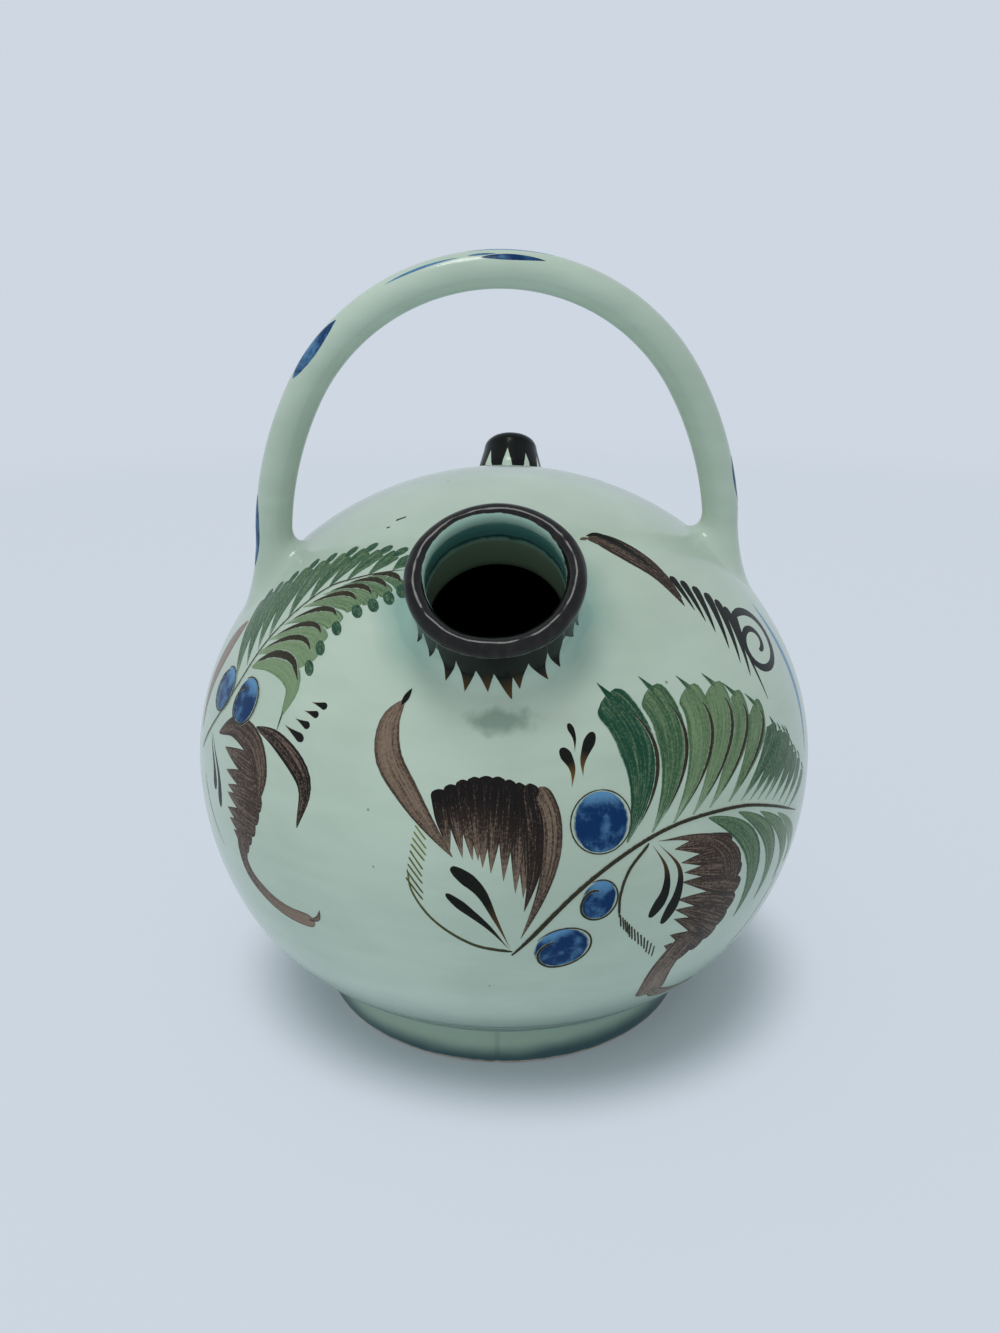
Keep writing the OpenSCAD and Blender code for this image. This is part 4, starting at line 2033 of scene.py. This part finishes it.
@dataclass(frozen=True)
class Flames:
    """Tongues of black that run down from a rim, uneven as quick brush marks are, the longest in front."""

    POINTS = 24

    place: Matrix
    skin: Sequence[Pair]
    start: float
    length: float
    count: int
    touch: Touch
    lean: float = 4.0
    ochre: float = 0.6
    spread: float = 1.35
    longer: float = 0.38

    def strokes(self) -> list[Stroke]:
        """The tongues, from the front round to the right.

        Returns:
            Their strokes.
        """
        made = []
        middle = down_outline(self.skin, self.start + self.length / 2)
        half = self.spread * math.pi * middle[0] / self.count / MM
        for k in range(self.count):
            bearing = 360 * (k + 0.4) / self.count + 3 * math.sin(5.3 * k)
            ahead = max(0.0, math.cos(math.radians(bearing)))
            drop = self.length * (1 - self.longer * (1 - ahead)) * (1 + 0.1 * math.sin(2.7 * k + 1.0))
            sway = self.lean * (0.5 + math.sin(3.1 * k + 0.8))
            shares = np.linspace(0, 1, self.POINTS)
            line = np.array([self._at(bearing + sway * s ** 2, self.start + drop * s) for s in shares])
            hue = (-1.0, self.ochre * ahead ** 4)
            made.append(brushed(line, self.touch, (half, half), (1.2, 1.0), hue,
                                layer=LAYERS + 1 + k % LAYERS))
        return made

    def _at(self, bearing: float, distance: float) -> np.ndarray:
        """A point of the skin.

        Args:
            bearing: Degrees from the front.
            distance: The way down from the rim.

        Returns:
            The point in metres.
        """
        radius, height = down_outline(self.skin, distance)
        turn = math.radians(bearing)
        return np.array(self.place @ Vector((radius * math.sin(turn), -radius * math.cos(turn), height)))


@dataclass(frozen=True)
class HandleDab:
    """A dab on the handle between two angles over the arch, at a turn around the handle's line."""

    POINTS = 24

    start: float
    end: float
    around: float
    half: float
    tone: float

    def stroke(self, handle: Handle) -> Stroke:
        """Draws the dab.

        Args:
            handle: The handle that carries it.

        Returns:
            The stroke.
        """
        angles = np.linspace(self.start, self.end, self.POINTS)
        line = [handle.skin(angle, math.radians(self.around)) for angle in angles]
        return brushed(np.array(line), Touch.SWOOSH, (self.half, self.half), (self.tone, self.tone))


HANDLE_DABS = (
    HandleDab(149, 131, -30, 3.3, 1.0),
    HandleDab(117, 98, -36, 0.55, 0.5),
    HandleDab(96, 75, -8, 0.5, 0.5),
    HandleDab(93, 77, -46, 1.2, 1.3),
    HandleDab(96, 89, -34, 0.5, 0.6),
    HandleDab(14, 6, -16, 2.6, 1.0),
    HandleDab(181, 169, -18, 3.0, 1.0),
)


Motif = Dab | Row | Berry | Curl
GREEN, BROWN, BLUE, DARK, BLACK = Pigment

SPRIGS: tuple[Motif, ...] = (
    # The stem with tall leaflets above and hanging ones below
    Dab(((3, 65), (12.5, 84), (21.5, 95), (31.5, 100), (44, 98.5), (54, 92.5), (66, 82)), Touch.LINE, DARK,
        (1.0, 0.5), layer=8),
    Row(((21.5, 97.5), (26, 99), (30, 100.2), (34, 101), (37.5, 101.2), (42, 100.8)),
        ((20.8, 134.5), (30, 134.5), (38.5, 132.5), (45, 131), (49.5, 127), (54.5, 122)), 6, Touch.LEAFLET,
        GREEN, (6.1, 4.8), ((7, 3), (7, 3)), tones=(1.2, 1.0, 0.75, 0.7, 0.75, 0.8),
        hues=(0.9, 0.35, 0.1, 0.05, 0.05, 0.1), uneven=0.1, rib=(0.85, 0.1), flick=(-3.4, 5.0)),
    Row(((45, 99.5), (53, 95), (61, 87)), ((58.5, 114), (64, 107), (69, 94)), 8, Touch.LEAFLET, GREEN,
        (3.4, 1.9), ((6, 2), (3, 0)), tones=(1.0, 0.9), hues=(0.8, 0.9), loads=(0.95, 0.75),
        flick=(-1.0, 2.6)),
    Row(((37, 99), (44, 97), (50, 93.5), (56, 89)), ((46.5, 58), (52, 61), (59, 62), (64, 64)), 4,
        Touch.SWOOSH, GREEN, (4.0, 2.4), ((11.5, 3), (8, -3)), tones=(0.9, 0.6), hues=(0.7, 0.9),
        loads=(1.0, 0.6)),
    Dab(((62, 63), (57, 52), (51, 42)), Touch.SWOOSH, DARK, (0.4, 0.4), load=0.7),
    # The toothed brown leaf under the frond, with its commas and hatching
    Dab(((27, 96.5), (33, 95), (38.5, 91), (42.3, 84), (43.5, 74)), Touch.COMMA, BROWN, (4.4, 4.4),
        (1.2, 1.5), layer=4),
    Row(((42.5, 88), (45.5, 77), (45, 66), (41.5, 57), (36, 52.5)),
        ((30, 92), (31.5, 85), (31.5, 77), (31, 69), (29.5, 60)), 9, Touch.TOOTH, BROWN, (3.4, 3.2),
        ((0, 1), (0, 1)), tones=(1.5, 1.7), fade=(1.0, 0.8), hues=(0.1, 0.4)),
    Dab(((36, 62), (33, 56), (31, 48), (31, 37)), Touch.BAND, BROWN, (4.0, 5.2), (1.3, 0.7), layer=4),
    Dab(((31, 42), (33, 37), (38, 34), (46, 33)), Touch.SWOOSH, BROWN, (3.0, 2.4), (1.0, 0.8), layer=5),
    Dab(((26, 96), (28.5, 88), (28.5, 80), (26, 72.5)), Touch.COMMA, BLACK, (2.1, 2.1), hue=(0.9, -0.9)),
    Dab(((27, 96), (31, 87), (31, 78), (28.5, 69)), Touch.COMMA, BLACK, (2.1, 2.1), hue=(0.9, -0.9)),
    Dab(((25.5, 96.5), (22, 90), (20.5, 82.5), (20.5, 75)), Touch.LINE, DARK, (0.7, 0.5), layer=6),
    Row(((20.7, 76), (23.5, 70), (28, 61.5)), ((21, 71.5), (24, 65), (28, 57)), 13, Touch.LINE, DARK,
        (0.35, 0.35), uneven=0.2),
    # The berries along the stem, and those of the left sprig
    Berry((17.5, 104.5), (8.4, 8.6), start=100, hook=0.0),
    Berry((16.9, 82), (5.3, 6.1), turn=-15),
    Berry((11.2, 67), (8.4, 6.6), turn=20),
    Berry((-64.6, 119.4), (6.4, 6.8), hook=0.2, tone=0.75, layer=9),
    Berry((-54.6, 121.2), (6.4, 7.0), layer=9),
    # The toothed leaf in the middle with its long curved neighbour, commas, loop and hatching
    Row(((-9, 114), (-4.5, 117), (0, 118), (4, 116.5), (7, 115)),
        ((-6.5, 97), (-3, 95.5), (-0.5, 93), (3, 87), (5.5, 82)), 10, Touch.TOOTH, BROWN, (2.3, 2.6),
        tones=(1.0,), fade=(2.8, 0.45), drift=(1.4, -0.3), uneven=0.6),
    Dab(((6, 116), (6.8, 104), (6.5, 92), (5, 80)), Touch.TOOTH, BROWN, (2.8, 2.8), (2.0, 1.6), (1.0, 0.4),
        layer=5),
    Dab(((7.5, 115), (9.4, 107), (9.2, 96), (7.4, 84), (4.5, 71)), Touch.TOOTH, BROWN, (2.8, 2.8),
        (1.0, 1.2), (0.2, 0.3), layer=6),
    Dab(((-17, 134), (-19, 128), (-18, 120), (-14, 112), (-10, 104), (-6, 96)), Touch.SWOOSH, BROWN,
        (4.8, 3.2), (0.75, 0.95), layer=5),
    Dab(((-17.4, 132.5), (-16, 136.5)), Touch.SWOOSH, BLACK, (0.9, 0.9), layer=9),
    Dab(((3, 67.5), (0.5, 78), (-2, 87), (-6.5, 93.5)), Touch.COMMA, BLACK, (2.3, 2.3), hue=(1.0, -1.0)),
    Dab(((3, 67), (-1, 76), (-7.3, 85.5)), Touch.COMMA, BLACK, (1.6, 1.6), hue=(0.6, -0.9)),
    Dab(((3.5, 66.5), (-3, 69), (-9, 76), (-12.5, 84.5), (-13.4, 92)), Touch.LINE, DARK, (0.75, 0.3),
        hue=(0.0, 0.5)),
    Row(((-12.3, 104), (-13, 97), (-13.6, 89)), ((-10.4, 100), (-10.6, 92), (-11, 82.5)), 9, Touch.LINE,
        DARK, (0.3, 0.35), hues=(1.0, 0.3), uneven=0.3),
    Dab(((13, 114), (13.3, 119), (11.7, 124)), Touch.COMMA, BLACK, (1.8, 1.8), hue=(1.5, -0.8)),
    Dab(((15, 116.5), (15.4, 121), (17.8, 127)), Touch.COMMA, BLACK, (1.8, 1.8), hue=(1.5, -0.8)),
    Dab(((14, 122.5), (14.2, 126), (13.4, 129.5)), Touch.COMMA, BLACK, (1.0, 1.0), hue=(0.6, -0.9)),
    # The arching fern on the left shoulder
    Dab(((-70, 96.5), (-61, 118), (-57, 138.5), (-50.5, 152), (-43, 156.5), (-29, 160.5)), Touch.LINE, DARK,
        (0.45, 0.3), load=0.7, layer=8),
    Row(((-61.2, 123), (-59.3, 131), (-57.5, 137), (-54, 146), (-49.5, 152.3), (-43, 156.3), (-33, 159.8)),
        ((-72, 142.5), (-69, 148), (-64, 154), (-56.5, 159), (-48, 161.8), (-39, 163.2), (-30, 162)), 10,
        Touch.LEAFLET, GREEN, (3.9, 2.4), ((-2, 1), (0, 1)), tones=(0.9, 1.1), hues=(0.75, 0.6),
        loads=(0.85, 1.0), uneven=0.4, knob=1.6),
    Row(((-59, 132), (-56.5, 139), (-53, 147), (-48, 152.8), (-40, 157.3)),
        ((-41, 136), (-40.5, 144), (-36.5, 150.5), (-31, 154), (-27, 156.5)), 7, Touch.LEAFLET, GREEN,
        (4.4, 1.8), ((3, 5), (1.5, 2)), tones=(0.5, 0.9), hues=(0.0, 0.5), uneven=0.3, rib=(0.1, 0.8),
        rib_half=1.3, knob=1.7),
    Dab(((-58, 129), (-52.5, 133), (-46.5, 133.5), (-42.5, 130), (-42.5, 122)), Touch.SWOOSH, GREEN,
        (4.0, 4.4), (0.5, 0.5)),
    Dab(((-57, 131), (-52, 135.2), (-46, 135.8), (-41.8, 132)), Touch.SWOOSH, DARK, (1.7, 1.7), layer=5),
    Dab(((-42.5, 124), (-42.4, 118.5)), Touch.SWOOSH, DARK, (0.4, 0.3), layer=5),
    # The toothed leaf at the left with its long tail, dark leaf and commas
    Dab(((-61, 108), (-55, 113.5), (-48, 112.5), (-44, 106), (-43.5, 97)), Touch.SWOOSH, BROWN, (4.2, 4.8),
        (1.4, 1.4), layer=5),
    Row(((-44, 106), (-42.5, 98.5), (-43.5, 91), (-45.5, 84), (-47.5, 77)),
        ((-57, 105.5), (-54.5, 98), (-53.5, 92), (-52, 86), (-50.5, 79)), 8, Touch.TOOTH, BROWN, (3.6, 2.8),
        tones=(1.6, 1.5), fade=(1.0, 0.7)),
    Dab(((-49.5, 84), (-48, 73), (-43.5, 67.5), (-38, 65), (-31.5, 65.5)), Touch.BAND, BROWN, (2.2, 2.8),
        (1.3, 0.35), layer=4),
    Dab(((-33, 65.5), (-30.8, 67.5), (-30, 71)), Touch.SWOOSH, BROWN, (0.9, 0.7), layer=6),
    Dab(((-48.5, 117), (-42, 116.5), (-35.5, 112), (-33, 106), (-34, 95)), Touch.SWOOSH, BROWN, (3.2, 3.4),
        (1.4, 1.4), (0.9, 0.9)),
    Row(((-36.5, 128.5), (-37.5, 126), (-39, 123.5), (-41, 121)),
        ((-32.5, 128.5), (-33.8, 126), (-35, 122.7), (-35.5, 119)), 4, Touch.COMMA, BLACK, (1.2, 1.4),
        uneven=0.0, drift=(0.7, -0.9)),
    Dab(((-65, 106), (-60.5, 98), (-59, 91)), Touch.COMMA, BLACK, (1.7, 1.7), (0.8, 0.8)),
    Dab(((-64, 106), (-58, 97), (-56.5, 87)), Touch.COMMA, BLACK, (1.7, 1.7), (0.8, 0.8)),
    Dab(((-66, 92), (-62, 82), (-57, 73)), Touch.SWOOSH, DARK, (0.4, 0.4), load=0.6),
    Dab(((-72.5, 136), (-74.5, 127), (-75, 115), (-73, 101)), Touch.SWOOSH, BROWN, (5.0, 4.0), (0.5, 0.5),
        load=0.9),
    # The leaf, comb strokes and curl on the right shoulder, and ticks on the left one
    Dab(((35, 166.5), (41, 165.5), (46.5, 162), (50, 157), (50.5, 149)), Touch.SWOOSH, BROWN, (4.2, 4.4),
        (1.5, 1.6), (0.2, 0.4), layer=4),
    Dab(((35.5, 167), (41.5, 166.6), (47, 163), (50.5, 157)), Touch.SWOOSH, BLACK, (1.2, 1.2), layer=6),
    Dab(((32, 166.6), (36, 166.6)), Touch.SWOOSH, BROWN, (0.7, 0.7), (1.0, 1.0), (1.0, 1.0), layer=5),
    Row(((51.5, 157), (55, 155), (59, 152), (62.5, 148.5), (64.5, 145)),
        ((51.5, 150.5), (53, 146), (54.5, 141), (56.5, 134.5), (58, 128)), 7, Touch.TAIL, BLACK, (1.7, 2.1),
        uneven=0.3),
    Dab(((66.5, 143), (63, 138), (61, 131), (60.5, 120)), Touch.TAIL, BLACK, (1.6, 1.6)),
    Curl((67, 133.5), (14, 11.5), 120, -600, (1.6, 1.0)),
    Dab(((80, 140), (79, 125), (76.5, 111), (72.5, 96)), Touch.SWOOSH, BLUE, (2.2, 2.2), (0.2, 0.2)),
    Dab(((-52, 168.2), (-49.5, 169.3)), Touch.LINE, DARK, (0.7, 0.5)),
    Dab(((-51.5, 166.6), (-50.5, 167)), Touch.LINE, DARK, (0.6, 0.4)),
)


@dataclass(frozen=True)
class Ornament:
    """The painter's sprigs, whose places are bearings in degrees from the front and heights in mm.

    The back repeats the front.
    """

    globe: Globe
    motifs: tuple[Motif, ...] = SPRIGS
    offsets: Pair = (0.0, 180.0)

    def compose(self) -> dict[Pigment, list[Stroke]]:
        """The strokes of the front and the back.

        Returns:
            The strokes by pigment.
        """
        strokes: dict[Pigment, list[Stroke]] = {pigment: [] for pigment in Pigment}
        for offset in self.offsets:
            site = Site(self.globe, offset)
            for motif in self.motifs:
                for pigment, stroke in motif.strokes(site):
                    strokes[pigment].append(stroke)
        return strokes


# Studio

@dataclass(frozen=True)
class Studio:
    """The pale floor, the soft light and the camera."""

    photo_size: Pair = (1000.0, 1333.0)
    focal_px: float = 1400.0
    distance: float = 0.4606
    elevation: float = 22.0
    yaw: float = 2.02
    target: Triple = (-0.00129, 0.0, 0.11175)
    sensor: float = 36.0
    floor_colour: Colour = seen(217, 232, 241)
    backdrop: Colour = seen(206, 215, 226)
    floor_half: float = 6.0
    shadow_at: Triple = (0.007, 0.0, 0.0)
    bright: float = 1.0
    dim: float = 0.5
    light_from: Triple = (-0.5, -0.5, 0.7)
    lamp_at: Triple = (-0.1, -0.2, 1.2)
    lamp_target: Triple = (0.0, -0.05, 0.15)
    lamp_size: float = 0.3
    lamp_power: float = 2.4

    def build(self) -> None:
        """Makes the camera, the floor and the light."""
        bpy.context.scene.view_settings.view_transform = "Standard"
        self._camera()
        self._floor()
        self._world()
        self._lamp()

    def _camera(self) -> None:
        """Sets the camera at the photograph's viewing angle."""
        data = bpy.data.cameras.new("camera")
        data.sensor_width = self.sensor
        data.lens = self.sensor * self.focal_px / max(self.photo_size)
        data.clip_start = 0.01
        camera = new_object("camera", data)
        rise, turn = math.radians(self.elevation), math.radians(self.yaw)
        back = Vector((math.sin(turn) * math.cos(rise), -math.cos(turn) * math.cos(rise), math.sin(rise)))
        camera.location = Vector(self.target) + back * self.distance
        camera.rotation_euler = (-back).to_track_quat("-Z", "Y").to_euler()
        bpy.context.scene.camera = camera

    def _looked_at(self, graph: Graph) -> Socket:
        """Which rays show the background.

        Args:
            graph: The tree.

        Returns:
            1 for the camera's rays, and for those mirrored or let through.
        """
        path = graph.node("ShaderNodeLightPath").outputs
        return graph.math("MAXIMUM", path["Is Camera Ray"],
                          graph.math("MAXIMUM", path["Is Glossy Ray"], path["Is Transmission Ray"]))

    def _floor(self) -> None:
        """Lays the pale floor, which keeps the jug's shadow and goes over to the backdrop further off."""
        mesh = bpy.data.meshes.new("floor")
        half = self.floor_half
        corners = [(-half, -half, 0), (half, -half, 0), (half, half, 0), (-half, half, 0)]
        mesh.from_pydata(corners, [], [(0, 1, 2, 3)])
        floor = new_object("floor", mesh)
        made, graph = material_graph("floor_paper")
        paper = graph.node("ShaderNodeBsdfPrincipled", {
            "Base Color": self.floor_colour, "Roughness": 0.9, "Specular IOR Level": 0.1})
        plain = graph.node("ShaderNodeEmission", {"Color": self.backdrop})
        way = graph.vector("SUBTRACT", graph.place, self.shadow_at)
        away = graph.vector("LENGTH", graph.vector("MULTIPLY", way, (1.0, 1.13, 1.0)))
        far = graph.math("MAXIMUM", graph.ease(away, 0.074, 0.107, 0.02, 0.85), graph.ease(away, 0.3, 1.0))
        share = graph.math("MULTIPLY", far, self._looked_at(graph))
        graph.end("ShaderNodeOutputMaterial", graph.either(share, paper, plain))
        floor.data.materials.append(made)

    def _world(self) -> None:
        """Lights the room softly, most from above, with a plain backdrop for what looks at it."""
        world = bpy.data.worlds.new("room")
        world.use_nodes = True
        bpy.context.scene.world = world
        graph = Graph(world.node_tree)
        way = graph.vector("NORMALIZE", graph.node("ShaderNodeTexCoord").outputs["Generated"])
        facing = graph.vector("DOT_PRODUCT", way, tuple(Vector(self.light_from).normalized()))
        strength = graph.ease(facing, -0.3, 1.0, self.dim, self.bright)
        room = graph.node("ShaderNodeBackground", {"Strength": strength})
        plain = graph.node("ShaderNodeBackground", {"Color": self.backdrop})
        graph.end("ShaderNodeOutputWorld", graph.either(self._looked_at(graph), room, plain))

    def _lamp(self) -> None:
        """Hangs a soft square lamp overhead."""
        data = bpy.data.lights.new("overhead", "AREA")
        data.size = self.lamp_size
        data.energy = self.lamp_power
        lamp = new_object("overhead", data)
        lamp.location = self.lamp_at
        way = Vector(self.lamp_target) - Vector(self.lamp_at)
        lamp.rotation_euler = way.to_track_quat("-Z", "Y").to_euler()


@dataclass
class Jug:
    """The glazed forms and the paint on them, whose thin strokes have finer grids."""

    FINE_GRIDS = {Pigment.LINE: (72, 5), Pigment.BLACK: (56, 7)}

    globe: Globe
    throat: Throat
    spout: Spout
    foot: Foot
    handle: Handle

    def build(self) -> None:
        """Makes each form, then paints on it."""
        ground, black = Celadon(self.globe, self.throat, self.foot), BlackGlaze()
        glazed = ground.glazed()
        shell = self.globe.build([(tube.place, tube.hole_r) for tube in (self.throat, self.spout)])
        shell.data.materials.append(glazed)
        shell.data.materials.append(PaintedInsideShade().material())
        carry(shell, "celadon_glaze", "body_left_half", "body_right_half")
        neck = self._dress(self.throat.build(), ground.neck_inside())
        carry(neck, "celadon_glaze", "filling_neck", "neck_collar")
        lip = Lip(self.throat)
        carry(self._dress(lip.build(), black.lip(lip)), "lip_glaze", "mouth_lip")
        horn = self._dress(self.spout.build(), black.spout(self.spout, ground))
        carry(horn, "spout_glaze", "pouring_spout", "spout_collar")
        carry(self._dress(self.foot.build(), ground.foot_glaze()), "foot_glaze", "foot_ring")
        loop = self._dress(self.handle.build(), glazed)
        carry(loop, "handle_glaze", "handle_arch", "handle_left_root", "handle_right_root")
        self._paint(ground, shell, neck, horn, loop)

    def _dress(self, form: Form, glaze: Material) -> Form:
        """Gives a form its glaze."""
        form.data.materials.append(glaze)
        return form

    def _paint(self, ground: Celadon, shell: Form, neck: Form, horn: Form, loop: Form) -> None:
        """Paints the sprigs, the tongues of black and the handle's dabs.

        Args:
            ground: The celadon below the paint.
            shell: The globe.
            neck: The filling neck.
            horn: The spout.
            loop: The handle.
        """
        brush = Brushwork(StrokeTree())
        paints = {pigment: paint.material(pigment, ground) for pigment, paint in PAINTS.items()}
        for pigment, strokes in Ornament(self.globe).compose().items():
            grid = self.FINE_GRIDS.get(pigment, GRID)
            piece = brush.paint("painted_" + pigment.value, strokes, shell, paints[pigment], grid)
            carry(piece, "celadon_glaze")
        throat, spout = self.throat, self.spout
        black = replace(PAINTS[Pigment.BLACK], softness=0.0).material(Pigment.BLACK, ground)
        tongues = Flames(throat.place, throat.skin(), 0.0, 0.0175, 26, Touch.TOOTH, spread=1.1)
        carry(brush.paint("neck_flames", tongues.strokes(), neck, black), "lip_glaze")
        tongues = Flames(spout.place, spout.skin(), 0.0005, 0.024, 10, Touch.TAIL, lean=2.0, ochre=0.0,
                         spread=1.6, longer=0.0)
        carry(brush.paint("spout_flames", tongues.strokes(), horn, black), "spout_glaze")
        dabs = [dab.stroke(self.handle) for dab in HANDLE_DABS]
        carry(brush.paint("handle_dabs", dabs, loop, paints[Pigment.BLUE]), "handle_glaze")


def main() -> None:
    """Builds the jug and its studio."""
    logging.basicConfig(level=logging.INFO, format="%(name)s %(message)s")
    globe = Globe()
    Jug(globe, Throat(globe), Spout(globe), Foot(globe), Handle(globe)).build()
    Studio().build()


if __name__ == "__main__":
    main()
